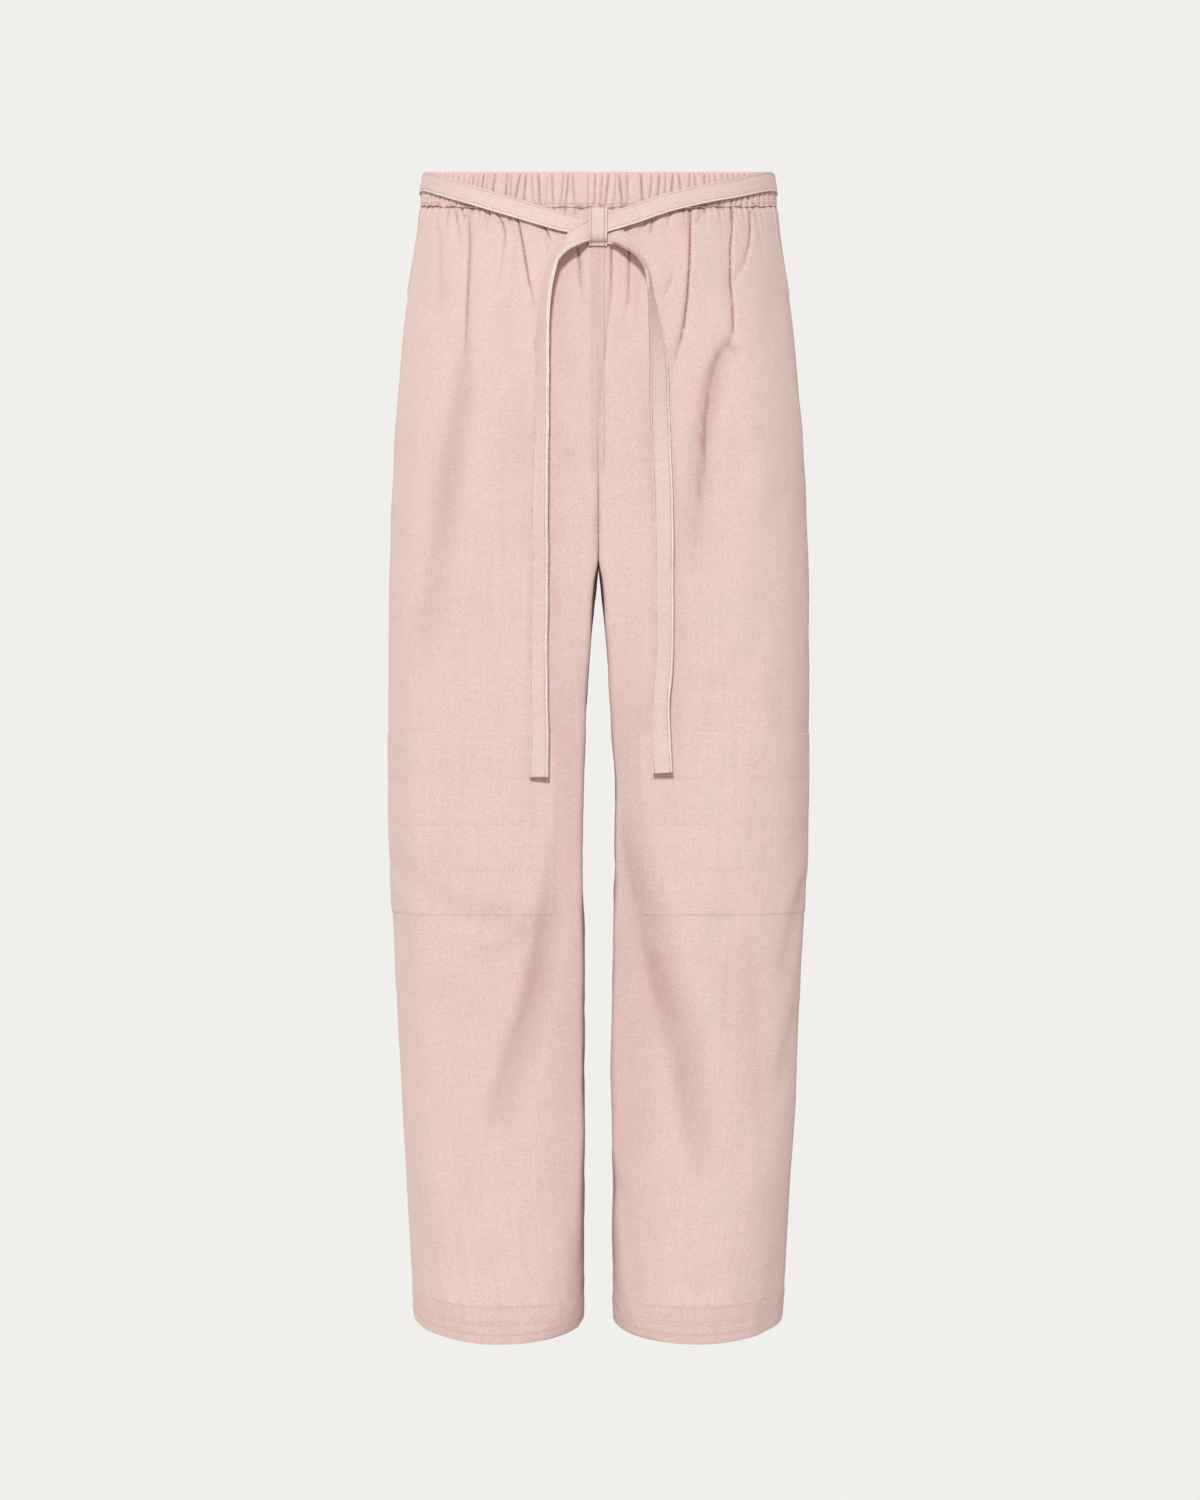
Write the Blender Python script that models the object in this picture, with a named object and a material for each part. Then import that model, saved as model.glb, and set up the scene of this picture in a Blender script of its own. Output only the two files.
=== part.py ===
"""Judo pants in cotton cloth, hollow and hanging as they are worn.

The origin is the middle of the waist opening, halfway up the waistband at the side seams.
-Y is the front, +X the wearer's left and +Z up. The tables are in millimetres, the model in metres.
Every piece is a wall of cloth: an outer skin and an inner skin of points, joined round the edge.
"""
import math
from collections import namedtuple

import bpy
import numpy as np

MM = 0.001

# Seams and cloth, in mm
CLOTH_WALL = 2.0           # wall of a panel
SEAM_GAP = 0.3             # between two pieces that are sewn together
BAND_TOP = 16.0            # level of the waistband's upper edge
BAND_BOTTOM = -15.0        # level of the waistband's lower edge
BAND_WALL = 3.0            # two layers of cloth with elastic between them
HEM = -1044.0              # level of the hems
CROTCH = -347.5            # level where the two legs part
WAIST_SLOPE = math.tan(math.radians(11.5))   # the waist is lower in front than behind
SLOPE_END = -260.0         # level where the cross-sections are horizontal
POCKET_BOTTOM = -97.0      # level of the lower end of the pocket mouth
SEAM_FORWARD = 24.0        # how far the side seam lies in front of the side line, at the band
POCKET_SLANT = 4.0         # how much of that the pocket mouth's slant takes away
SEAM_AT_SIDE = -330.0      # level from which the side seam runs down the side line

# Gathers: the cloth is drawn in by the elastic
GATHERS_A_QUARTER = 27     # from centre front to side seam, and from there to centre back
GATHER_SHARE = (0.0, 1 / 3, 2 / 3)           # points across one gather: its crease, then its crest
PitchWave = namedtuple("PitchWave", "size turn start")
PITCH_WAVES = (PitchWave(0.30, 2.4, 0.0), PitchWave(0.22, 5.1, 1.0))   # make the gathers uneven
BAND_CREST = 0.6
BAND_CREASE = -1.2
BandLevel = namedtuple("BandLevel", "z gathered")
BAND_LEVELS = (
    BandLevel(BAND_TOP, 0.75),
    BandLevel((BAND_TOP + BAND_BOTTOM) / 2, 1.0),
    BandLevel(BAND_BOTTOM, 0.9),
)
BAND_INNER_POINTS = 13     # from centre front to side seam, and from there to centre back
PANEL_CREST = 0.8
PANEL_CREASE = -1.0
GATHER_REACH = 34.0        # how far below the band the small gathers run out

# Knee patch: four quilted rows over the front of the knee
PATCH_TOP = -500.0
PATCH_ROW = 40.5
PATCH_ROWS = 4
PATCH_WALL = 1.2
PATCH_PUFF = 0.7

# Tie: a flat strap from each side seam, crossed inside the loop at centre front
TIE_WIDTH = 17.5
TIE_WALL = 1.4
TIE_STEP = 16.0            # distance between the cross-sections of a tie
TIE_TURN_STEP = 6.5        # the same from the loop to where the tie hangs straight
TIE_TURN = (-14.0, 84.0)   # that stretch, measured from the middle of the loop

# Loop at centre front
LOOP_WIDTH = 15.8
LOOP_WALL = 1.4
LOOP_CENTRE_X = -0.4

PINK = (0.80, 0.60, 0.55, 1.0)
PINK_TIE = (0.82, 0.62, 0.57, 1.0)
CLOTH_ROUGHNESS = 0.85
SHARP_ANGLE = math.radians(50)

# The garment's cross-sections. half_width is measured to the outer side, leg_gap is half the gap
# between the legs, front and back are the depths from the side line, and squareness is the power of
# the super-ellipse (2 is an ellipse).
Level = namedtuple("Level", "z half_width leg_gap front back squareness")
LEVELS = (
    Level(16, 158.7, 0.0, 106, 105, 2.15),
    Level(-15, 163.2, 0.0, 108, 108, 2.15),
    Level(-50, 168.4, 0.0, 111, 115, 2.18),
    Level(-100, 175.2, 0.0, 114, 124, 2.22),
    Level(-160, 180.7, 0.0, 116, 132, 2.25),
    Level(-220, 185.1, 0.0, 116, 136, 2.28),
    Level(-280, 188.2, 0.0, 115, 132, 2.32),
    Level(-347, 190.0, 0.0, 114, 121, 2.38),
    Level(-370, 190.9, 2.4, 114, 117, 2.40),
    Level(-400, 191.2, 4.8, 113, 112, 2.42),
    Level(-470, 191.8, 10.1, 111, 102, 2.45),
    Level(-540, 191.4, 12.9, 109, 96, 2.45),
    Level(-620, 189.8, 13.3, 107, 92, 2.45),
    Level(-690, 186.3, 12.6, 103, 92, 2.45),
    Level(-765, 182.6, 12.1, 98, 94, 2.42),
    Level(-840, 178.9, 11.4, 95, 95, 2.40),
    Level(-910, 175.3, 11.4, 93, 95, 2.38),
    Level(-980, 171.8, 11.2, 91, 94, 2.35),
    Level(-1044, 168.6, 11.0, 90, 92, 2.35),
)

# Where the cleft between the legs starts above the crotch, and how late it deepens
Cleft = namedtuple("Cleft", "start lateness")
FRONT_CLEFT = Cleft(-190.0, 3.0)
BACK_CLEFT = Cleft(-180.0, 2.4)
CLEFT_POWER = 2.5               # shape of a shallow cleft across the cloth
ROUND_WAIST = (-15.0, -235.0)   # levels between which the round waist turns into two legs
CREST_PLACE_WAIST = 0.40        # place of a leg's foremost line on the cross-section at the waist
CREST_PLACE_LEG = 0.50          # and below it
QUARTER_POINTS = 161            # points on a quarter of a cross-section

# Rows of points down a panel: their level and the number of steps across, outside and inside.
# The top rows take the gathers, three steps to each.
GATHER_STEPS = GATHERS_A_QUARTER * len(GATHER_SHARE)
Row = namedtuple("Row", "z outer_steps inner_steps")
PANEL_ROWS = (
    Row(BAND_BOTTOM - SEAM_GAP, GATHER_STEPS, 27),
    Row(-24, GATHER_STEPS, 27),
    Row(-37, 54, 27),
    Row(-54, 27, 27),
    Row(-78, 22, 22),
    Row(-106, 22, 22),
    Row(-140, 20, 20),
    Row(-178, 20, 20),
    Row(-218, 18, 18),
    Row(-258, 18, 18),
    Row(-292, 18, 18),
    Row(-318, 18, 18),
    Row(-335, 18, 18),
    Row(-344, 18, 18),
    Row(CROTCH, 18, 18),
    Row(-370, 18, 18),
    Row(-410, 18, 18),
    Row(-455, 18, 18),
    Row(PATCH_TOP, 18, 18),
    Row(PATCH_TOP - PATCH_ROW, 18, 18),
    Row(PATCH_TOP - 2 * PATCH_ROW, 18, 18),
    Row(PATCH_TOP - 3 * PATCH_ROW, 18, 18),
    Row(PATCH_TOP - 4 * PATCH_ROW, 18, 18),
    Row(-695, 18, 18),
    Row(-735, 18, 18),
    Row(-785, 18, 18),
    Row(-840, 18, 18),
    Row(-900, 18, 18),
    Row(-955, 18, 18),
    Row(-1004, 18, 18),
    Row(HEM, 18, 18),
)
PATCH_FIRST_STEP = 4       # the patch runs from this step of a front panel to its side seam
LEG_STEPS = 18

# The largest folds, as troughs seen from the front or from the back. Each runs straight from its
# top to its low end in the X-Z plane; depth is negative for a ridge.
Fold = namedtuple("Fold", "x_top z_top x_low z_low width depth")
FRONT_FOLDS = (
    Fold(-119, -20, -119, -235, 9, 6),       # right side, from the band
    Fold(-119, -225, -152, -450, 22, 7),
    Fold(-98, -25, -82, -90, 7, 4),
    Fold(-76, -30, -52, -150, 8, 5),
    Fold(-40, -690, -70, -790, 17, 9),       # right leg, below the knee
    Fold(-44, -682, -98, -710, 12, 6),
    Fold(-92, -1000, -60, -975, 12, 3),
    Fold(-24, -30, -22, -110, 6, 3),         # beside the centre front
    Fold(26, -30, 22, -150, 7, 3),
    Fold(83, -25, 67, -170, 8, 5),           # left side, from the band
    Fold(120, -20, 120, -155, 8, 6),
    Fold(139, -20, 124, -95, 7, 4),
    Fold(116, -148, 93, -225, 10, 7),
    Fold(93, -220, 81, -345, 14, 7),
    Fold(18, -600, 49, -785, 16, 9),         # left leg, below the knee
    Fold(49, -780, 92, -908, 18, 9),
    Fold(14, -870, 30, -1006, 12, 7),
    Fold(70, -420, 125, -390, 12, -3),
)
BACK_FOLDS = (
    Fold(-128, -20, -122, -150, 9, 6),       # right side, from the band
    Fold(-92, -20, -96, -120, 8, 5),
    Fold(-58, -20, -50, -165, 9, 6),
    Fold(-22, -20, -24, -105, 7, 4),
    Fold(-40, -345, -110, -300, 15, 7),      # under the seat
    Fold(-60, -400, -135, -372, 16, 6),
    Fold(-40, -625, -150, -600, 14, 8),      # behind the knee
    Fold(-50, -668, -140, -690, 15, 7),
    Fold(-120, -720, -88, -900, 18, 8),
    Fold(-60, -880, -104, -985, 15, 5),
    Fold(19, -20, 24, -120, 7, 4),
    Fold(52, -20, 56, -150, 9, 6),           # left side, from the band
    Fold(86, -20, 80, -115, 8, 5),
    Fold(118, -20, 130, -170, 9, 6),
    Fold(36, -345, 104, -305, 15, 7),
    Fold(70, -412, 140, -380, 16, 6),
    Fold(45, -612, 150, -628, 14, 8),
    Fold(46, -690, 128, -662, 15, 7),
    Fold(70, -725, 112, -890, 18, 8),
    Fold(118, -900, 82, -1000, 15, 5),
)
FOLD_START = (-35.0, -70.0)     # levels between which folds grow out of the band's seam
FOLD_COMES = (-0.25, 0.1)       # shares of a fold's length over which it comes
FOLD_GOES = (0.55, 1.15)        # and goes
SEAM_CALM = 14.0                # folds die out this close to the centre seams and the inseams
SEAM_PLACE = 0.0007             # half the gap at a side seam, as a place on the cross-section

# Each tie along the waist: x on its own side, the height of its middle and its stand-off
Waist = namedtuple("Waist", "x z stand_off")
RIGHT_TIE_WAIST = (
    Waist(0.0, -58.0, 2.9),
    Waist(8.4, -55.9, 2.9),
    Waist(26.0, -52.0, 3.2),
    Waist(69.4, -38.0, 4.0),
    Waist(105.6, -24.4, 3.8),
    Waist(143.3, -6.8, 3.0),
    Waist(160.5, 5.2, 2.5),
    Waist(164.0, 7.0, 2.3),
)
LEFT_TIE_WAIST = (
    Waist(0.0, -54.5, 5.7),
    Waist(9.3, -51.4, 5.7),
    Waist(26.0, -46.0, 5.4),
    Waist(54.3, -34.9, 4.4),
    Waist(90.0, -23.6, 4.0),
    Waist(126.7, -12.7, 3.2),
    Waist(163.0, 6.1, 2.4),
    Waist(165.0, 7.0, 2.3),
)
TIE_START = 1.05                # place on the cross-section: just behind the side seam
TIE_AT_LOOP = 0.03
WAIST_STATIONS = 18

# Each tie past the loop, on the other side: x away from the centre, y, z, how far its face turns
# outwards from the front and how far it looks up, in degrees
Strand = namedtuple("Strand", "x y z turn up")
RIGHT_STRAND = (                # of the left tie, on the wearer's right
    Strand(10.0, -116.8, -60.0, 0, 2),
    Strand(19.7, -120.6, -66.0, 18, 20),
    Strand(30.2, -123.6, -76.5, 66, 38),
    Strand(36.8, -124.0, -85.7, 80, 25),
    Strand(39.8, -125.0, -95.8, 82, 12),
    Strand(44.6, -126.0, -122.0, 78, 3),
    Strand(47.3, -125.6, -157.0, 66, 0),
    Strand(49.5, -124.6, -209.6, 53, 0),
    Strand(51.6, -122.4, -297.0, 33, 0),
    Strand(52.4, -119.2, -380.0, 29, 0),
    Strand(52.5, -115.6, -460.0, 27, 0),
    Strand(52.5, -112.6, -539.6, 22, 0),
)
LEFT_STRAND = (                 # of the right tie, on the wearer's left
    Strand(9.0, -112.9, -61.5, 0, 2),
    Strand(15.0, -113.8, -64.3, 8, 10),
    Strand(21.0, -117.5, -68.2, 28, 28),
    Strand(27.6, -120.4, -74.4, 50, 38),
    Strand(36.3, -123.2, -83.1, 70, 36),
    Strand(41.6, -125.0, -92.7, 80, 20),
    Strand(46.0, -126.0, -115.0, 76, 5),
    Strand(51.2, -125.4, -157.0, 45, 0),
    Strand(53.6, -124.4, -209.6, 34, 0),
    Strand(56.5, -122.0, -297.0, 26, 0),
    Strand(57.7, -118.6, -390.0, 25, 0),
    Strand(57.3, -117.0, -428.5, 27, 0),
    Strand(54.0, -114.8, -478.0, 28, 0),
    Strand(56.7, -112.4, -536.0, 8, 0),
)

# The loop's middle line in the Y-Z plane, from the band's seam down over the ties to the cloth
LOOP_LINE = (
    (-112.2, -38.9),
    (-113.6, -39.6),
    (-117.9, -40.6),
    (-119.4, -43.5),
    (-120.6, -57.0),
    (-121.2, -69.5),
    (-119.0, -73.6),
    (-114.3, -74.6),
    (-114.0, -77.0),
)


def smooth_through(xs, ys, x):
    """The value at x of a smooth curve through the points (xs, ys); xs rise."""
    xs = np.asarray(xs, float)
    ys = np.asarray(ys, float)
    slopes = np.gradient(ys, xs, axis=0)
    i = int(np.clip(np.searchsorted(xs, x) - 1, 0, len(xs) - 2))
    step = xs[i + 1] - xs[i]
    t = min(max((x - xs[i]) / step, 0.0), 1.0)
    start = ys[i] * (1 + 2 * t) * (1 - t) ** 2 + slopes[i] * step * t * (1 - t) ** 2
    end = ys[i + 1] * t * t * (3 - 2 * t) - slopes[i + 1] * step * t * t * (1 - t)
    return start + end


def ramp(x, start, end):
    """0 at start and 1 at end, with soft corners."""
    t = np.clip((x - start) / (end - start), 0.0, 1.0)
    return t * t * (3 - 2 * t)


def level_at(z):
    """The garment's sizes at level z."""
    depths = [-level.z for level in LEVELS]
    return Level(*smooth_through(depths, LEVELS, -z))


def slope_at(z):
    """How steeply the cross-section at level z rises towards the back."""
    return WAIST_SLOPE * (1 - ramp(z, BAND_BOTTOM, SLOPE_END))


def cleft_at(cleft, z):
    """0 where the cloth spans both legs, 1 from the crotch down, with a rounded crotch curve."""
    t = min(max((cleft.start - z) / (cleft.start - CROTCH), 0.0), 1.0)
    return 1 - math.sqrt(1 - t ** cleft.lateness)


def arc_lengths(points):
    steps = np.linalg.norm(np.diff(points, axis=0), axis=1)
    return np.concatenate([[0.0], np.cumsum(steps)])


def along(points, shares):
    """Points at shares of a curve's length."""
    lengths = arc_lengths(points)
    return np.stack([np.interp(shares * lengths[-1], lengths, column) for column in points.T], axis=1)


def round_corner(turn, squareness):
    """A quarter of a super-ellipse of unit size: its share of the width and of the depth."""
    return np.cos(turn) ** (2 / squareness), np.sin(turn) ** (2 / squareness)


QUARTER_PLACES = np.linspace(0.0, 1.0, QUARTER_POINTS)


def quarter(z, depth, cleft):
    """From the centre line, or the inseam, to the side: the outside of the cloth at level z.

    At the waist it is a quarter of a super-ellipse. Lower down it is the outer and the inner corner
    of a leg, and the inner corner flattens out above the crotch, where the cloth spans both legs.
    The points keep their places across the leg from one level to the next."""
    body = level_at(z)
    gap = max(body.leg_gap, 0.0)
    crest = (gap + body.half_width) / 2
    wide, deep = round_corner(np.linspace(math.pi / 2, 0, QUARTER_POINTS), body.squareness)
    waist = np.stack([body.half_width * wide, depth * deep], axis=1)
    outer = np.stack([crest + (body.half_width - crest) * wide, depth * deep], axis=1)
    spread_out = wide[::-1]
    share = cleft_at(cleft, z)
    hollow = (1 - share) * spread_out ** CLEFT_POWER + share * (1 - deep[::-1])
    inner = np.stack([crest - (crest - gap) * spread_out, depth * (1 - share * hollow)], axis=1)
    middle = CREST_PLACE_WAIST + (CREST_PLACE_LEG - CREST_PLACE_WAIST) * ramp(z, *ROUND_WAIST)
    inner_shares = np.clip(QUARTER_PLACES / middle, 0, 1)
    outer_shares = np.clip((QUARTER_PLACES - middle) / (1 - middle), 0, 1)
    on_inner = QUARTER_PLACES[:, None] < middle
    leg = np.where(on_inner, along(inner, inner_shares), along(outer, outer_shares))
    blend = ramp(z, *ROUND_WAIST)
    points = (1 - blend) * along(waist, QUARTER_PLACES) + blend * leg
    points[:, 0] += SEAM_GAP / 2
    return points


def side_seam_shift(z):
    """How far the side seam lies in front of the side line: the pocket mouths slant."""
    forward = SEAM_FORWARD * (1 - ramp(z, BAND_BOTTOM, SEAM_AT_SIDE))
    return max(forward - POCKET_SLANT * ramp(z, BAND_BOTTOM, POCKET_BOTTOM), 0.0)


Section = namedtuple("Section", "places points normals start seam end")


def section(z):
    """Half a cross-section on the wearer's left, from front to back. A place on it is 0 at centre
    front, 1 at the side and 2 at centre back; start, seam and end are places too."""
    body = level_at(z)
    front = quarter(z, -body.front, FRONT_CLEFT)
    back = quarter(z, body.back, BACK_CLEFT)
    places = np.concatenate([QUARTER_PLACES, 1 + QUARTER_PLACES[1:]])
    points = np.concatenate([front, back[-2::-1]])
    lengths = arc_lengths(points)
    tangents = np.gradient(points, lengths, axis=0)
    tangents /= np.linalg.norm(tangents, axis=1, keepdims=True)
    normals = np.stack([tangents[:, 1], -tangents[:, 0]], axis=1)
    seam = arc_lengths(front)[-1] - side_seam_shift(z)
    marks = (SEAM_GAP / 2, seam, lengths[-1] - SEAM_GAP / 2)
    return Section(places, points, normals, *np.interp(marks, lengths, places))


def at_place(cut, place):
    """The point at a place of a cross-section, and the way out from it."""
    point = np.array([np.interp(place, cut.places, column) for column in cut.points.T])
    normal = np.array([np.interp(place, cut.places, column) for column in cut.normals.T])
    return point, normal / np.linalg.norm(normal)


def fold_depth(folds, x, z):
    """How far in the folds take the cloth at (x, z), seen from the front or the back."""
    total = 0.0
    for fold in folds:
        top = np.array([fold.x_top, fold.z_top])
        line = np.array([fold.x_low, fold.z_low]) - top
        place = np.array([x, z]) - top
        share = place @ line / (line @ line)
        away = np.linalg.norm(place - np.clip(share, 0, 1) * line)
        ends = ramp(share, *FOLD_COMES) * (1 - ramp(share, *FOLD_GOES))
        total += fold.depth * ends * math.exp(-(away / fold.width) ** 2)
    return total * ramp(z, *FOLD_START)


def gather_shares():
    """Places of the gather points along a quarter, from 0 to 1: uneven, as elastic draws cloth in."""
    pitches = np.ones(GATHERS_A_QUARTER)
    for wave in PITCH_WAVES:
        pitches += wave.size * np.sin(wave.turn * np.arange(GATHERS_A_QUARTER) + wave.start)
    edges = np.concatenate([[0.0], np.cumsum(pitches)]) / sum(pitches)
    places = [a + share * (b - a) for a, b in zip(edges, edges[1:]) for share in GATHER_SHARE]
    return np.array(places + [1.0])


def gather_heights(crest, crease):
    """Height of each gather point over the plain wall."""
    wave = [crease, crest, crest]
    return np.array(wave * GATHERS_A_QUARTER + [crease])


def panel_row(side, face, z, steps, inset):
    """A row of points across a panel. side is 1 or -1, face 'front' or 'back'; inset is how far in
    from the outside of the cloth the row lies."""
    cut = section(z)
    start = cut.start if face == "front" else cut.end
    folds = FRONT_FOLDS if face == "front" else BACK_FOLDS
    end = cut.seam - math.copysign(SEAM_PLACE, cut.seam - start)
    gathered = steps == GATHER_STEPS
    shares = gather_shares() if gathered else np.linspace(0, 1, steps + 1)
    heights = np.zeros(len(shares))
    if gathered:
        fade = 1 - ramp(z, BAND_BOTTOM, BAND_BOTTOM - GATHER_REACH)
        heights = gather_heights(PANEL_CREST, PANEL_CREASE) * fade
    slope = slope_at(z)
    row = []
    first, _ = at_place(cut, start)
    for share, height in zip(shares, heights):
        point, normal = at_place(cut, start + share * (end - start))
        calm = ramp(np.linalg.norm(point - first), 0.0, SEAM_CALM)
        fold = fold_depth(folds, side * point[0], z + slope * point[1]) * calm
        x, y = point + (height * calm - fold - inset) * normal
        row.append((side * max(x, SEAM_GAP / 2), y, z + slope * y))
    return np.array(row)


def strip_between(row_a, row_b, index_a, index_b):
    """Triangles between two rows of points that may have different counts."""
    place_a = np.linspace(0, 1, len(row_a))
    place_b = np.linspace(0, 1, len(row_b))
    faces = []
    i = j = 0
    while i < len(row_a) - 1 or j < len(row_b) - 1:
        step_a = j == len(row_b) - 1
        if not step_a and i < len(row_a) - 1:
            step_a = place_a[i + 1] <= place_b[j + 1]
        if step_a:
            faces.append((index_a[i], index_b[j], index_a[i + 1]))
            i += 1
        else:
            faces.append((index_a[i], index_b[j], index_b[j + 1]))
            j += 1
    return faces


def wall(name, outer_rows, inner_rows, flip):
    """A closed wall of cloth from the rows of its outer and its inner skin, top to bottom."""
    points = []
    skins = []
    for rows in (outer_rows, inner_rows):
        indices = []
        for row in rows:
            indices.append(list(range(len(points), len(points) + len(row))))
            points.extend(row)
        skins.append(indices)
    outer, inner = skins
    faces = []
    for upper, lower in zip(outer, outer[1:]):
        faces += strip_between(upper, lower, upper, lower)
    for upper, lower in zip(inner, inner[1:]):
        faces += [face[::-1] for face in strip_between(upper, lower, upper, lower)]
    first_outer = [row[0] for row in outer]
    last_outer = [row[-1] for row in outer]
    first_inner = [row[0] for row in inner]
    last_inner = [row[-1] for row in inner]
    faces += strip_between(inner[0], outer[0], inner[0], outer[0])
    faces += strip_between(outer[-1], inner[-1], outer[-1], inner[-1])
    faces += strip_between(first_outer, first_inner, first_outer, first_inner)
    faces += strip_between(last_inner, last_outer, last_inner, last_outer)
    if flip:
        faces = [face[::-1] for face in faces]
    return add_object(name, points, faces)


def add_object(name, points, faces):
    mesh = bpy.data.meshes.new(name)
    mesh.from_pydata([tuple(np.asarray(point) * MM) for point in points], [], faces)
    mesh.validate()
    mesh.update()
    mesh.shade_smooth()
    mesh.set_sharp_from_angle(angle=SHARP_ANGLE)
    obj = bpy.data.objects.new(name, mesh)
    collection.objects.link(obj)
    return obj


def cloth_material(name, colour):
    material = bpy.data.materials.new(name)
    material.use_nodes = True
    shader = material.node_tree.nodes["Principled BSDF"]
    shader.inputs["Base Color"].default_value = colour
    shader.inputs["Roughness"].default_value = CLOTH_ROUGHNESS
    shader.inputs["Metallic"].default_value = 0.0
    return material


def side_name(side):
    return "left" if side > 0 else "right"


def make_panel(side, face, material):
    """One of the four panels, from the waistband's seam to the hem."""
    outer = [panel_row(side, face, row.z, row.outer_steps, 0.0) for row in PANEL_ROWS]
    inner = [panel_row(side, face, row.z, row.inner_steps, CLOTH_WALL) for row in PANEL_ROWS]
    flip = (side > 0) != (face == "front")
    panel = wall(f"{face}_{side_name(side)}", outer, inner, flip)
    panel.data.materials.append(material)


def make_knee_patch(side, material):
    """Quilted patch on a front panel, from near the inseam to the side seam."""
    outer = []
    inner = []
    for half_row in range(2 * PATCH_ROWS + 1):
        z = PATCH_TOP - half_row * PATCH_ROW / 2
        between_stitches = half_row % 2
        height = SEAM_GAP + PATCH_WALL + PATCH_PUFF * between_stitches
        outer.append(panel_row(side, "front", z, LEG_STEPS, -height)[PATCH_FIRST_STEP:])
        if not between_stitches:
            inner.append(panel_row(side, "front", z, LEG_STEPS, -SEAM_GAP)[PATCH_FIRST_STEP:])
    patch = wall(f"knee_patch_{side_name(side)}", outer, inner, side < 0)
    patch.data.materials.append(material)


def band_ring(z, shares, heights):
    """A ring of points round the waist at level z, from centre front by the wearer's left."""
    cut = section(z)
    slope = slope_at(z)
    spans = ((0.0, cut.seam), (cut.seam, 2.0))
    half = []
    for start, end in spans:
        backwards = start > 0
        places = 1 - shares[::-1] if backwards else shares
        rises = heights[::-1] if backwards else heights
        for place, rise in list(zip(places, rises))[:-1]:
            point, normal = at_place(cut, start + place * (end - start))
            x, y = point + rise * normal
            half.append((x - SEAM_GAP / 2, y, z + slope * y))
    back_y = cut.points[-1, 1] + heights[0]
    back = (0.0, back_y, z + slope * back_y)
    half[0] = (0.0, *half[0][1:])
    left = half + [back]
    right = [(-x, y, z) for x, y, z in half[:0:-1]]
    return np.array(left + right)


def make_waistband(material):
    """An elastic casing: gathered cloth outside, plain inside."""
    shares = gather_shares()
    plain = np.linspace(0, 1, BAND_INNER_POINTS)
    depths = np.full(BAND_INNER_POINTS, -BAND_WALL)
    waves = gather_heights(BAND_CREST, BAND_CREASE)
    outer = [band_ring(level.z, shares, level.gathered * waves) for level in BAND_LEVELS]
    inner = [band_ring(z, plain, depths) for z in (BAND_TOP, BAND_BOTTOM)]
    points = []
    rings = []
    for ring in outer + inner[::-1]:
        rings.append(list(range(len(points), len(points) + len(ring))))
        rings[-1].append(rings[-1][0])
        points.extend(ring)
    faces = []
    for upper, lower in zip(rings, rings[1:] + rings[:1]):
        faces += strip_between(upper, lower, upper, lower)
    add_object("waistband", points, faces).data.materials.append(material)


def tie_on_waist(side, waist, place):
    """A place on a tie's way round the waist: its middle and the direction that its face looks in."""
    xs = [row.x for row in waist]
    point, _ = at_place(section(BAND_BOTTOM), place)
    x = min(point[0], xs[-1]) if place < 1 else xs[-1]
    height = smooth_through(xs, [row.z for row in waist], x)
    stand_off = np.interp(x, xs, [row.stand_off for row in waist])
    level = height - slope_at(height) * point[1]
    _, normal = at_place(section(level), place)
    upper, _ = at_place(section(level + TIE_WIDTH / 2), place)
    lower, _ = at_place(section(level - TIE_WIDTH / 2), place)
    lean = (lower - upper) @ normal / TIE_WIDTH - slope_at(level) * normal[1]
    middle = (upper + lower) / 2 + stand_off * normal
    return (side * middle[0], middle[1], height, side * normal[0], normal[1], lean)


def tie_stations(side, waist, strand):
    """Middle points and face directions of a tie, from its side seam through the loop to its end."""
    places = np.linspace(TIE_START, TIE_AT_LOOP, WAIST_STATIONS)
    stations = [tie_on_waist(side, waist, place) for place in places]
    for row in strand:
        turn, up = math.radians(row.turn), math.radians(row.up)
        facing = (-side * math.sin(turn) * math.cos(up), -math.cos(turn) * math.cos(up), math.sin(up))
        stations.append((-side * row.x, row.y, row.z, *facing))
    return np.array(stations)


def tie_steps(stations):
    """Lengths along a tie where its cross-sections lie, closer together where it turns."""
    lengths = arc_lengths(stations[:, :3])
    loop = lengths[WAIST_STATIONS]
    start, end = loop + TIE_TURN[0], loop + TIE_TURN[1]
    return np.concatenate([
        np.linspace(0.0, start, round(start / TIE_STEP), endpoint=False),
        np.linspace(start, end, round((end - start) / TIE_TURN_STEP), endpoint=False),
        np.linspace(end, lengths[-1], round((lengths[-1] - end) / TIE_STEP) + 1),
    ])


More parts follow.
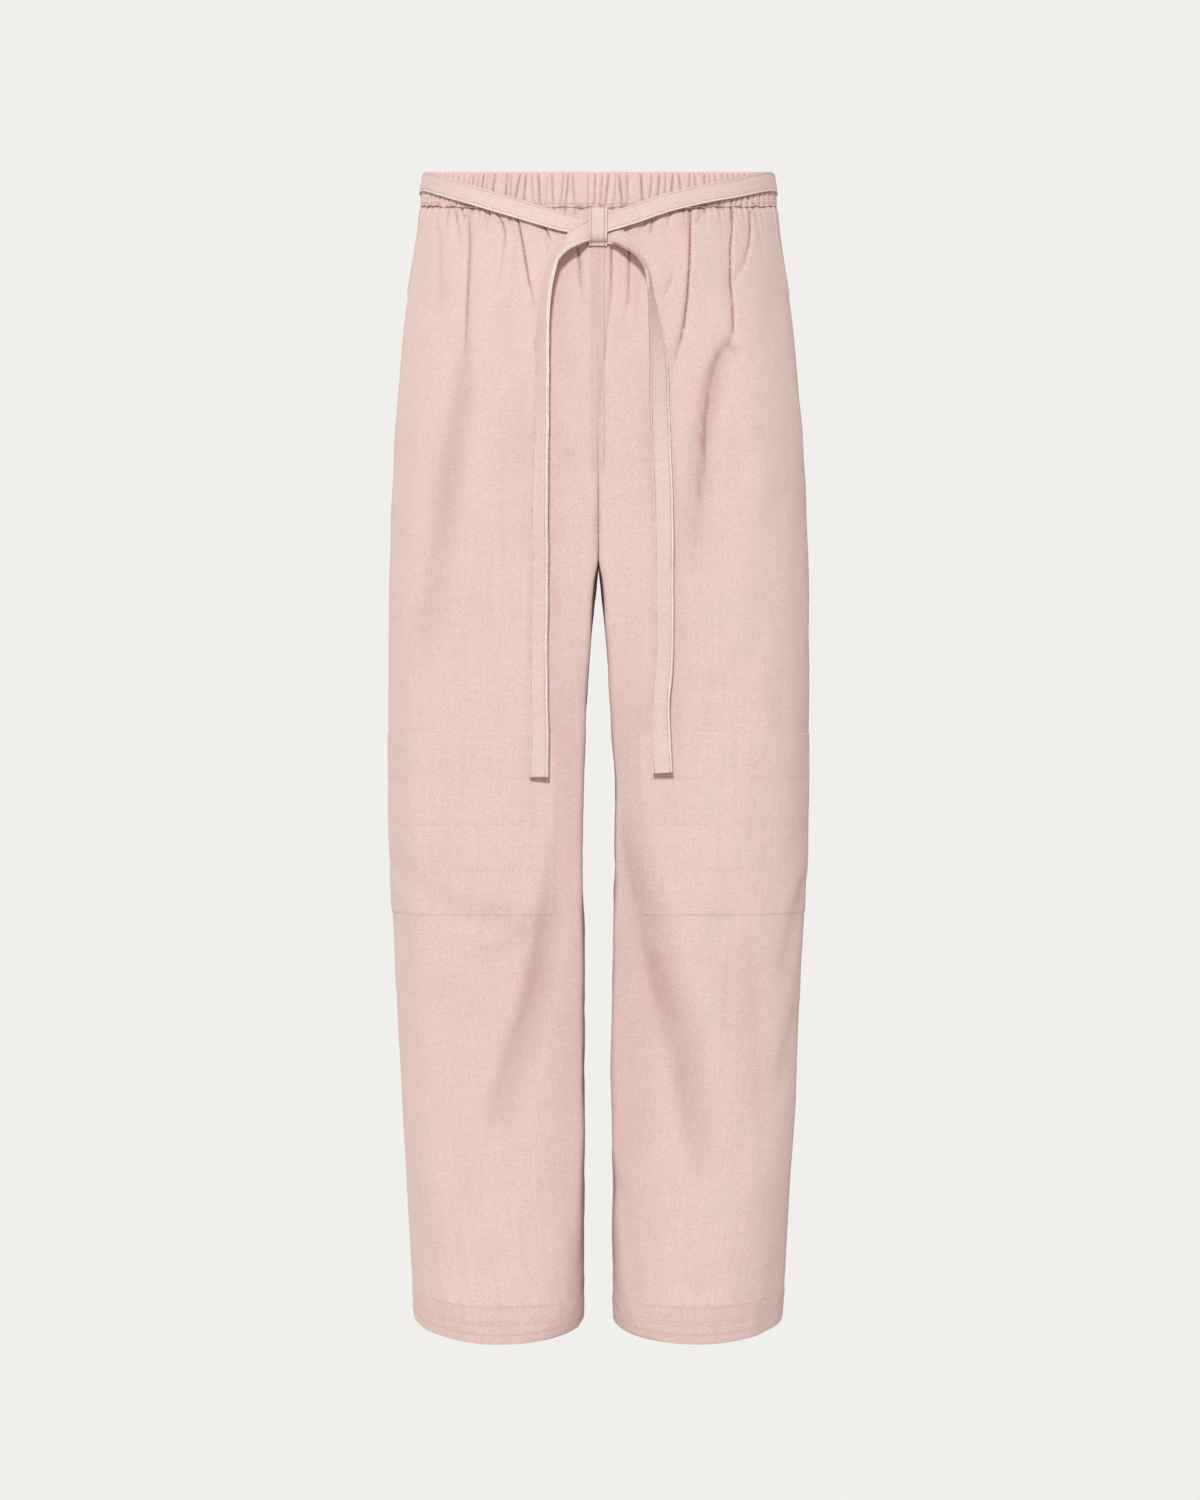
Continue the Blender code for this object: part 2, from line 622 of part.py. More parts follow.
def make_tie(side, waist, strand, material):
    """A flat strap: one rectangle lofted along the tie's route."""
    stations = tie_stations(side, waist, strand)
    lengths = arc_lengths(stations[:, :3])
    samples = np.array([smooth_through(lengths, stations, step) for step in tie_steps(stations)])
    middle = samples[:, :3]
    onward = np.gradient(middle, axis=0)
    onward /= np.linalg.norm(onward, axis=1, keepdims=True)
    facing = samples[:, 3:]
    facing = facing - onward * np.sum(facing * onward, axis=1, keepdims=True)
    facing /= np.linalg.norm(facing, axis=1, keepdims=True)
    across = np.cross(onward, facing)
    corners = ((1, 1), (-1, 1), (-1, -1), (1, -1))
    points = []
    for centre, wide, thick in zip(middle, across, facing):
        points += [centre + a * wide * TIE_WIDTH / 2 + b * thick * TIE_WALL / 2 for a, b in corners]
    faces = [(0, 1, 2, 3)]
    for k in range(len(middle) - 1):
        for a in range(4):
            b = (a + 1) % 4
            faces.append((4 * k + b, 4 * k + a, 4 * k + 4 + a, 4 * k + 4 + b))
    last = 4 * (len(middle) - 1)
    faces.append((last + 3, last + 2, last + 1, last))
    add_object(f"tie_{side_name(side)}", points, faces).data.materials.append(material)
    print(f"tie_{side_name(side)}: {lengths[-1]:.0f} mm long")


def make_loop(material):
    """The loop that holds the ties: its bent strip is a flat outline, extruded to its width."""
    line = np.array(LOOP_LINE)
    onward = np.gradient(line, axis=0)
    onward /= np.linalg.norm(onward, axis=1, keepdims=True)
    outward = np.stack([onward[:, 1], -onward[:, 0]], axis=1)
    outline = np.concatenate([line + outward * LOOP_WALL / 2, (line - outward * LOOP_WALL / 2)[::-1]])
    curve = bpy.data.curves.new("tie_loop", "CURVE")
    curve.dimensions = "2D"
    curve.fill_mode = "BOTH"
    curve.extrude = LOOP_WIDTH / 2 * MM
    spline = curve.splines.new("POLY")
    spline.points.add(len(outline) - 1)
    for point, (y, z) in zip(spline.points, outline):
        point.co = (y * MM, z * MM, 0.0, 1.0)
    spline.use_cyclic_u = True
    loop = bpy.data.objects.new("tie_loop", curve)
    loop.rotation_euler = (math.pi / 2, 0.0, math.pi / 2)
    loop.location = (LOOP_CENTRE_X * MM, 0.0, 0.0)
    collection.objects.link(loop)
    curve.materials.append(material)


for old in list(bpy.data.objects):
    bpy.data.objects.remove(old, do_unlink=True)
collection = bpy.data.collections.new("judo_pants")
bpy.context.scene.collection.children.link(collection)

cotton = cloth_material("cotton", PINK)
tie_cotton = cloth_material("tie_cotton", PINK_TIE)
for side in (1, -1):
    make_panel(side, "front", cotton)
    make_panel(side, "back", cotton)
    make_knee_patch(side, cotton)
make_waistband(cotton)
make_tie(1, LEFT_TIE_WAIST, RIGHT_STRAND, tie_cotton)
make_tie(-1, RIGHT_TIE_WAIST, LEFT_STRAND, tie_cotton)
make_loop(tie_cotton)
print("triangles:", sum(len(obj.data.loop_triangles) for obj in collection.objects if obj.type == "MESH"))
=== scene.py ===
# %% [markdown]
# # Judo pants: cloth from a few sizes
#
# The subject is a pair of wide cotton trousers. An elastic casing gathers the waist, a flat tie comes
# from each side seam and crosses its partner inside a loop at centre front, a quilted patch covers
# each knee, and three rows of stitching hold each hem. The trousers hang filled out, as if worn.
#
# A simulation could drape flat panels over a form, but it would put the folds where it likes. Here
# every panel is a grid of points worked out from cross-sections, and folds are drawn on it one by one.
# That keeps each fold where it belongs, and it gives the same cloth on every run.

# %% The frame
import math
from collections import namedtuple

import bpy
import numpy as np
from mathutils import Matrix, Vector, noise


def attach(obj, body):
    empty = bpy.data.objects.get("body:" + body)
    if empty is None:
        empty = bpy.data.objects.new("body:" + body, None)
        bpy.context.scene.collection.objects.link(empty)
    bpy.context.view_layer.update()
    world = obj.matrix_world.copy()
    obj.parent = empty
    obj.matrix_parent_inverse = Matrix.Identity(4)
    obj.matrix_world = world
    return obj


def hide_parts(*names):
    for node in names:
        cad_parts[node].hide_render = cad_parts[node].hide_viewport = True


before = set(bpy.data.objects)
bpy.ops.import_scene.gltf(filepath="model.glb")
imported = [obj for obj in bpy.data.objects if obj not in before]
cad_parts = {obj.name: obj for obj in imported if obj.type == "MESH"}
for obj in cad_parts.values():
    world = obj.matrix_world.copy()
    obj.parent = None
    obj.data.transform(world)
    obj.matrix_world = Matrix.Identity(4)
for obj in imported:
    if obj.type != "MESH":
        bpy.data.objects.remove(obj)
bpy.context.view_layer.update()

MM = 0.001
print("solids:", ", ".join(sorted(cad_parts)))

# %% [markdown]
# ## Camera
#
# The trousers are seen from straight ahead, at half their height and from far enough away that they
# look nearly flat, as in a shop's picture. A long lens does that. The camera comes first, because
# every later choice is judged through it. It stands on the -Y side, since the front faces -Y.

# %% Camera
VIEW_HEIGHT = -0.516       # metres below the waist
VIEW_DISTANCE = 2.6
VIEW_SIDE = 0.0014
SENSOR = 36.0
VIEW_TALL = 1.38           # metres of height in the picture, at the side seams

camera_data = bpy.data.cameras.new("camera")
camera_data.sensor_width = SENSOR
camera_data.lens = SENSOR * VIEW_DISTANCE / VIEW_TALL
camera = bpy.data.objects.new("camera", camera_data)
camera.location = (VIEW_SIDE, -VIEW_DISTANCE, VIEW_HEIGHT)
camera.rotation_euler = (math.pi / 2, 0.0, 0.0)
bpy.context.scene.collection.objects.link(camera)
bpy.context.scene.camera = camera
print(f"lens {camera_data.lens:.1f} mm")

# %% [markdown]
# ## The cut, as cross-sections
#
# A tailor thinks of trousers as widths at levels: waist, hip, thigh, knee, hem. The table holds those
# in millimetres. At each level a leg's outline is a super-ellipse, a curve between an ellipse and a
# rectangle, because a cloth tube that hangs from a waist is rounder than a box and squarer than an
# ellipse. The squareness is that curve's power: 2 is an ellipse.

# %% Sizes at each level
Level = namedtuple("Level", "z half_width leg_gap front back squareness")
LEVELS = (
    Level(16, 158.7, 0.0, 106, 105, 2.15),
    Level(-15, 163.2, 0.0, 108, 108, 2.15),
    Level(-50, 168.4, 0.0, 111, 115, 2.18),
    Level(-100, 175.2, 0.0, 114, 124, 2.22),
    Level(-160, 180.7, 0.0, 116, 132, 2.25),
    Level(-220, 185.1, 0.0, 116, 136, 2.28),
    Level(-280, 188.2, 0.0, 115, 132, 2.32),
    Level(-347, 190.0, 0.0, 114, 121, 2.38),
    Level(-370, 190.9, 2.4, 114, 117, 2.40),
    Level(-400, 191.2, 4.8, 113, 112, 2.42),
    Level(-470, 191.8, 10.1, 111, 102, 2.45),
    Level(-540, 191.4, 12.9, 109, 96, 2.45),
    Level(-620, 189.8, 13.3, 107, 92, 2.45),
    Level(-690, 186.3, 12.6, 103, 92, 2.45),
    Level(-765, 182.6, 12.1, 98, 94, 2.42),
    Level(-840, 178.9, 11.4, 95, 95, 2.40),
    Level(-910, 175.3, 11.4, 93, 95, 2.38),
    Level(-980, 171.8, 11.2, 91, 94, 2.35),
    Level(-1044, 168.6, 11.0, 90, 92, 2.35),
)
BAND_TOP, BAND_BOTTOM, CROTCH, HEM = 16.0, -15.0, -347.5, -1044.0
print(f"{len(LEVELS)} levels over {BAND_TOP - HEM:.0f} mm")

# %% [markdown]
# Between the rows of a table the sizes follow a smooth curve, so that no level shows as a ring. Where
# something sets in or fades out, a ramp with soft corners does the same. A bell is the shape of a
# groove or a ridge across its width, and serves everything from seams to folds.

# %% Smooth values
def smooth_through(xs, ys, x):
    """The value at x of a smooth curve through the points (xs, ys); xs rise."""
    xs, ys = np.asarray(xs, float), np.asarray(ys, float)
    slopes = np.gradient(ys, xs, axis=0)
    i = int(np.clip(np.searchsorted(xs, x) - 1, 0, len(xs) - 2))
    step = xs[i + 1] - xs[i]
    t = min(max((x - xs[i]) / step, 0.0), 1.0)
    start = ys[i] * (1 + 2 * t) * (1 - t) ** 2 + slopes[i] * step * t * (1 - t) ** 2
    end = ys[i + 1] * t * t * (3 - 2 * t) - slopes[i + 1] * step * t * t * (1 - t)
    return start + end


def ramp(x, start, end):
    """0 at start and 1 at end, with soft corners."""
    t = np.clip((x - start) / (end - start), 0.0, 1.0)
    return t * t * (3 - 2 * t)


def bell(away, width, power=2):
    """1 in the middle, falling off to both sides over a width."""
    return np.exp(-np.abs(away / width) ** power)


def level_at(z):
    """The row of the table at any level."""
    return Level(*smooth_through([-level.z for level in LEVELS], LEVELS, -z))


hem = level_at(HEM)
print(f"hem {2 * (hem.half_width - hem.leg_gap):.0f} mm wide over both legs")

# %% [markdown]
# ## Half a cross-section
#
# The section runs on the wearer's left from centre front (place 0) by the side (1) to centre back (2).
# At the waist it is one oval. From the crotch down it is a leg of its own, and between them the inner
# corner of the leg deepens into a cleft. Each point keeps its place down the leg, so columns of points
# run like the grain of the cloth. These sizes say how one tube turns into two, and how square a
# pressed leg is: most of all along the inseam, which a shop presses flat.

# %% Shape of the waist and the legs
WAIST_SLOPE = math.tan(math.radians(11.5))     # the waist is lower in front than behind
SLOPE_END = -260.0                             # from this level down the sections lie flat
Cleft = namedtuple("Cleft", "start lateness")  # where the legs start to part, and how late they do
FRONT_CLEFT, BACK_CLEFT = Cleft(-190.0, 5.0), Cleft(-180.0, 6.0)
CLEFT_POWER = 6.0              # shape of a shallow cleft across the cloth
CLEFT_NARROW = 130.0           # how narrow it stays until it is deep
CLEFT_OPENS = 16               # how late the whole inner corner follows
ROUND_WAIST = (-15.0, -235.0)  # between these levels one tube becomes two
CREST_WAIST, CREST_LEG = 0.40, 0.50            # place of a leg's foremost line
Pressed = namedtuple("Pressed", "z outside inside")    # what pressing adds to the squareness
PRESSED_FRONT = (
    Pressed(-110, 0.0, 0.0), Pressed(-240, 0.7, 30.0), Pressed(-620, 0.7, 30.0), Pressed(-830, 0.6, 20.0),
    Pressed(-960, 0.1, 6.0), Pressed(-1044, -0.2, 0.3),
)
PRESSED_BACK = (
    Pressed(-110, 0.0, 0.0), Pressed(-240, 0.7, 5.0), Pressed(-830, 0.6, 4.0), Pressed(-1044, -0.1, 0.3),
)
INSEAM_BOW = 3.0               # the inseam lies this much further out than the leg's front edge,
BOW_START = 60.0               # from this far below the crotch
QUARTER_POINTS = 161
print(f"the waist is {math.degrees(math.atan(WAIST_SLOPE)):.1f} degrees lower in front")

# %% [markdown]
# A quarter of the section is worked out twice, as the round waist and as a leg, and the two are mixed
# by level. Points are spaced evenly along each curve first, so that mixing them doesn't bunch them.

# %% A quarter of a cross-section
PLACES = np.linspace(0.0, 1.0, QUARTER_POINTS)


def slope_at(z):
    """How steeply the cross-section at level z rises towards the back."""
    return WAIST_SLOPE * (1 - ramp(z, BAND_BOTTOM, SLOPE_END))


def arc_lengths(points):
    """How far each point lies along the line through them all."""
    steps = np.linalg.norm(np.diff(points, axis=0), axis=1)
    return np.concatenate([[0.0], np.cumsum(steps)])


def sampled(xs, ys, columns):
    """Every column of a table read at xs, between its rows at ys."""
    return np.stack([np.interp(xs, ys, column) for column in columns.T], axis=-1)


def spaced(points, shares):
    """Points at shares of a curve's length."""
    lengths = arc_lengths(points)
    return sampled(shares * lengths[-1], lengths, points)


def curve_power(z, pressed, part):
    """The power of a pressed leg's outline at level z, outside or inside."""
    added = np.interp(-z, [-row.z for row in pressed], [getattr(row, part) for row in pressed])
    return 2 / (level_at(z).squareness + added)


def quarter(z, depth, cleft, pressed):
    """A quarter from the centre to the side line; depth is negative in front."""
    body = level_at(z)
    gap = max(body.leg_gap, 0.0)       # the smooth curve dips a little below 0 above the crotch
    crest = (gap + body.half_width) / 2
    turn = np.linspace(math.pi / 2, 0, QUARTER_POINTS)
    power = curve_power(z, pressed, "outside")
    wide, deep = np.cos(turn) ** power, np.sin(turn) ** power
    waist = np.stack([body.half_width * wide, depth * deep], axis=1)
    outer = np.stack([crest + (body.half_width - crest) * wide, depth * deep], axis=1)
    power = curve_power(z, pressed, "inside")
    spread, inner_deep = np.cos(turn)[::-1] ** power, np.sin(turn)[::-1] ** power
    down = min(max((cleft.start - z) / (cleft.start - CROTCH), 0.0), 1.0)
    parted = ramp(down, 0, 1)
    hollow = (1 - parted) * spread ** CLEFT_POWER + parted * (1 - inner_deep)
    opened = down ** CLEFT_OPENS
    share = opened + (down ** cleft.lateness - opened) * spread ** CLEFT_NARROW
    bow = INSEAM_BOW * spread * hollow * (1 - ramp(z, CROTCH - BOW_START, CROTCH))
    inner = np.stack([crest - (crest - gap) * spread + bow, depth * (1 - share * hollow)], axis=1)
    blend = ramp(z, *ROUND_WAIST)
    middle = CREST_WAIST + (CREST_LEG - CREST_WAIST) * blend
    inner_part = spaced(inner, np.clip(PLACES / middle, 0, 1))
    outer_part = spaced(outer, np.clip((PLACES - middle) / (1 - middle), 0, 1))
    leg = np.where(PLACES[:, None] < middle, inner_part, outer_part)
    return (1 - blend) * spaced(waist, PLACES) + blend * leg


print(f"{QUARTER_POINTS} points on a quarter of a cross-section")

# %% [markdown]
# A front and a back quarter make half a section. The side seam doesn't run down the side line: it lies
# in front of it at the waist, because the slanted pocket is set into it, and joins it above the crotch.

# %% Cross-sections
SEAM_FORWARD, POCKET_SLANT = 24.0, 4.0     # how far in front, and how much of it the slant takes away
POCKET_BOTTOM, SEAM_AT_SIDE = -97.0, -330.0
CENTRE_FRONT, CENTRE_BACK = 0.0, 2.0       # places of the two centre seams
Section = namedtuple("Section", "places points normals lengths seam")


def side_seam_shift(z):
    """How far the side seam lies in front of the side line."""
    forward = SEAM_FORWARD * (1 - ramp(z, BAND_BOTTOM, SEAM_AT_SIDE))
    return max(forward - POCKET_SLANT * ramp(z, BAND_BOTTOM, POCKET_BOTTOM), 0.0)


def section(z):
    """Half a cross-section at a level, from centre front round to centre back."""
    body = level_at(z)
    front = quarter(z, -body.front, FRONT_CLEFT, PRESSED_FRONT)
    back = quarter(z, body.back, BACK_CLEFT, PRESSED_BACK)
    places = np.concatenate([PLACES, 1 + PLACES[1:]])
    points = np.concatenate([front, back[-2::-1]])
    lengths = arc_lengths(points)
    tangents = np.gradient(points, lengths, axis=0)
    tangents /= np.linalg.norm(tangents, axis=1, keepdims=True)
    normals = np.stack([tangents[:, 1], -tangents[:, 0]], axis=1)
    seam = np.interp(arc_lengths(front)[-1] - side_seam_shift(z), lengths, places)
    return Section(places, points, normals, lengths, seam)


def on_section(cut, places):
    """Points and outward directions at places of a cross-section."""
    normals = sampled(places, cut.places, cut.normals)
    return sampled(places, cut.places, cut.points), normals / np.linalg.norm(normals, axis=-1, keepdims=True)


waist_cut = section(BAND_BOTTOM)
WAIST_HALF = waist_cut.lengths[-1]
WAIST_SEAM = float(np.interp(waist_cut.seam, waist_cut.places, waist_cut.lengths))
print(f"waist {2 * WAIST_HALF:.0f} mm round, hip {2 * section(-200).lengths[-1]:.0f} mm round")

# %% [markdown]
# ## Gathers
#
# Elastic draws the casing in, so the spare cloth stands up in round bulges with a narrow crease between
# each two. Evenly spaced waves would look like a curtain rail. Sewn elastic is uneven, so the creases in
# front are placed one by one, by the distance from centre front. Those at the back follow a stepping
# rule, in which each number swings round a mean.

# %% Gather tables
Gather = namedtuple("Gather", "x depth lean length")   # lean and length of the tail below the band, in mm
FRONT_GATHERS = tuple(Gather(*row) for row in (
    (-157, 1.0, 1, 10), (-152, 1.4, -1, 22), (-147, 1.1, 1, 14), (-143, 1.6, 2, 30), (-138, 1.0, 0, 12),
    (-134, 1.3, 1, 26), (-128, 2.0, -2, 30), (-123, 1.2, 1, 12), (-118, 1.5, 2, 34), (-114, 1.9, 0, 16),
    (-110, 1.3, 1, 12), (-105, 2.3, 1, 18), (-101, 1.2, -1, 10), (-95, 2.2, 3, 40), (-83, 2.1, 1, 22),
    (-79, 1.5, -1, 12), (-73, 2.2, 5, 36), (-66, 1.9, 1, 14), (-59, 1.4, -4, 22), (-53, 2.1, -3, 30),
    (-46, 1.0, 2, 16), (-41, 1.6, -3, 34), (-32, 1.3, 3, 18), (-28, 1.9, 2, 20), (-22, 1.4, -3, 30),
    (-9, 1.3, 0, 12), (-3, 1.5, 1, 10), (3, 1.4, 2, 12), (8, 1.8, 4, 22), (15, 1.2, 3, 16),
    (20, 2.2, -3, 30), (26, 1.3, 1, 14), (39, 2.3, -1, 30), (47, 1.5, 4, 18), (54, 1.9, 4, 34),
    (60, 1.3, 3, 16), (66, 2.1, 5, 26), (74, 2.1, -2, 16), (82, 1.6, 3, 40), (88, 1.6, -2, 14),
    (96, 2.1, 2, 18), (101, 1.1, 0, 12), (107, 1.4, -1, 26), (113, 1.2, 1, 12), (119, 1.9, -1, 38),
    (124, 1.5, 1, 14), (129, 1.2, 0, 16), (135, 1.7, 1, 34), (140, 1.2, 1, 12), (146, 1.5, 0, 26),
    (151, 1.1, 0, 12), (156, 1.2, 0, 18),
))
Uneven = namedtuple("Uneven", "mean swings")
Swing = namedtuple("Swing", "size turn start")
BACK_PITCH = Uneven(7.6, (Swing(2.584, 2.4, 0.0), Swing(1.672, 5.1, 1.0)))
BACK_DEPTH = Uneven(1.5, (Swing(0.5, 3.3, 0.0), Swing(0.3, 1.7, 0.0)))
BACK_LEAN = Uneven(0.0, (Swing(2.2, 4.1, 0.0),))
BACK_LENGTH = Uneven(18.0, (Swing(14.0, 2.9, 0.0),))
BACK_REACH = 0.51          # the back's creases reach this share of the half waist from centre back


def swung(row, k):
    """The k-th number of an uneven row."""
    return row.mean + sum(swing.size * math.sin(swing.turn * k + swing.start) for swing in row.swings)


print(len(FRONT_GATHERS), "gathers in front")

# %% [markdown]
# Both sets go into one list of creases, each at its distance round the waist from centre front. The
# distances run from minus half a round to plus half a round, and wrap there.

# %% Creases round the waist
Crease = namedtuple("Crease", "at depth lean length")
WAIST_ROUND = 2 * WAIST_HALF


def wrapped(at):
    """A distance round the waist, brought to within half a round either way."""
    return (at + WAIST_ROUND / 2) % WAIST_ROUND - WAIST_ROUND / 2


def front_distance(x):
    """Distance along the waist from centre front to the crease at x."""
    half = waist_cut.places <= 1.0
    return math.copysign(np.interp(abs(x), waist_cut.points[half, 0], waist_cut.lengths[half]), x)


def back_gathers():
    """Creases from side to side across the back."""
    found, at = [], -WAIST_HALF * BACK_REACH
    while at < WAIST_HALF * BACK_REACH:
        k = len(found) + 1
        at += swung(BACK_PITCH, k)
        depth, lean, length = (swung(row, k) for row in (BACK_DEPTH, BACK_LEAN, BACK_LENGTH))
        found.append(Crease(WAIST_ROUND / 2 + at, depth, lean, length))
    return found


creases_round = [Crease(front_distance(row.x), *row[1:]) for row in FRONT_GATHERS] + back_gathers()
creases_round = sorted(Crease(wrapped(crease.at), *crease[1:]) for crease in creases_round)
print(len(creases_round), "gathers round the waist")

# %% [markdown]
# The same creases shape two things: the casing itself, and the top of the panels, where each crease
# runs out in a tail that widens and fades on its way down.

# %% Height of the gathers
CREASE_HALF = 1.2          # half the width of one crease
CREASE_EDGE = 1.5          # power of its profile, between a knife-like 1 and a soft 2
CREASE_DEEPER = 1.25       # elastic pulls every crease deeper than the table says
BULGE = 1.2                # how far the casing stands up between creases
TAIL_DEEPER = 1.5          # the same two for the panel
TAIL_BULGE, TAIL_BULGE_REACH = 1.1, 30.0
TAIL_LEAN = 0.04           # share of its lean that a tail moves aside, a millimetre down
TAIL_WIDENS = 0.07         # share of its width that it gains, a millimetre down
TAIL_FADE, TAIL_FADE_POWER = 0.55, 1.3     # how soon it fades, as a share of its length


def gathers(at, up):
    """Height of the gathered casing at a distance round the waist; up runs 0 to 1 up the band."""
    height = np.zeros(np.broadcast(at, up).shape)
    for crease in creases_round:
        away = wrapped(at - crease.at - crease.lean * (up - 0.5))
        height -= CREASE_DEEPER * crease.depth * bell(away, CREASE_HALF, CREASE_EDGE)
    return BULGE + height


def gather_tails(at, below):
    """The same creases where they run out into the panels, below millimetres under the seam."""
    height = np.zeros(np.broadcast(at, below).shape)
    for crease in creases_round:
        away = wrapped(at - crease.at + crease.lean * (0.5 + TAIL_LEAN * below))
        fade = bell(np.maximum(below, 0), TAIL_FADE * crease.length, TAIL_FADE_POWER)
        across = bell(away, CREASE_HALF * (1 + TAIL_WIDENS * below), CREASE_EDGE)
        height -= crease.depth * TAIL_DEEPER * fade * across
    return height + TAIL_BULGE * (1 - ramp(below, 0, TAIL_BULGE_REACH))


print(f"creases {2 * CREASE_HALF} mm wide between bulges {BULGE} mm high")

# %% [markdown]
# ## Folds
#
# Large folds decide whether cloth looks like cloth. They start in the gathers, where the elastic lets
# spare width go, and at the knees, where the leg bends. A real fold is rarely an even wave: it has a
# steep side and a flat side, it widens as it falls, and it fades out. So each fold is a short path of
# bends seen from the front or from the back, with a depth and a width at every bend, and `lean` says
# how much wider its right side is than its left. Negative depths are ridges.

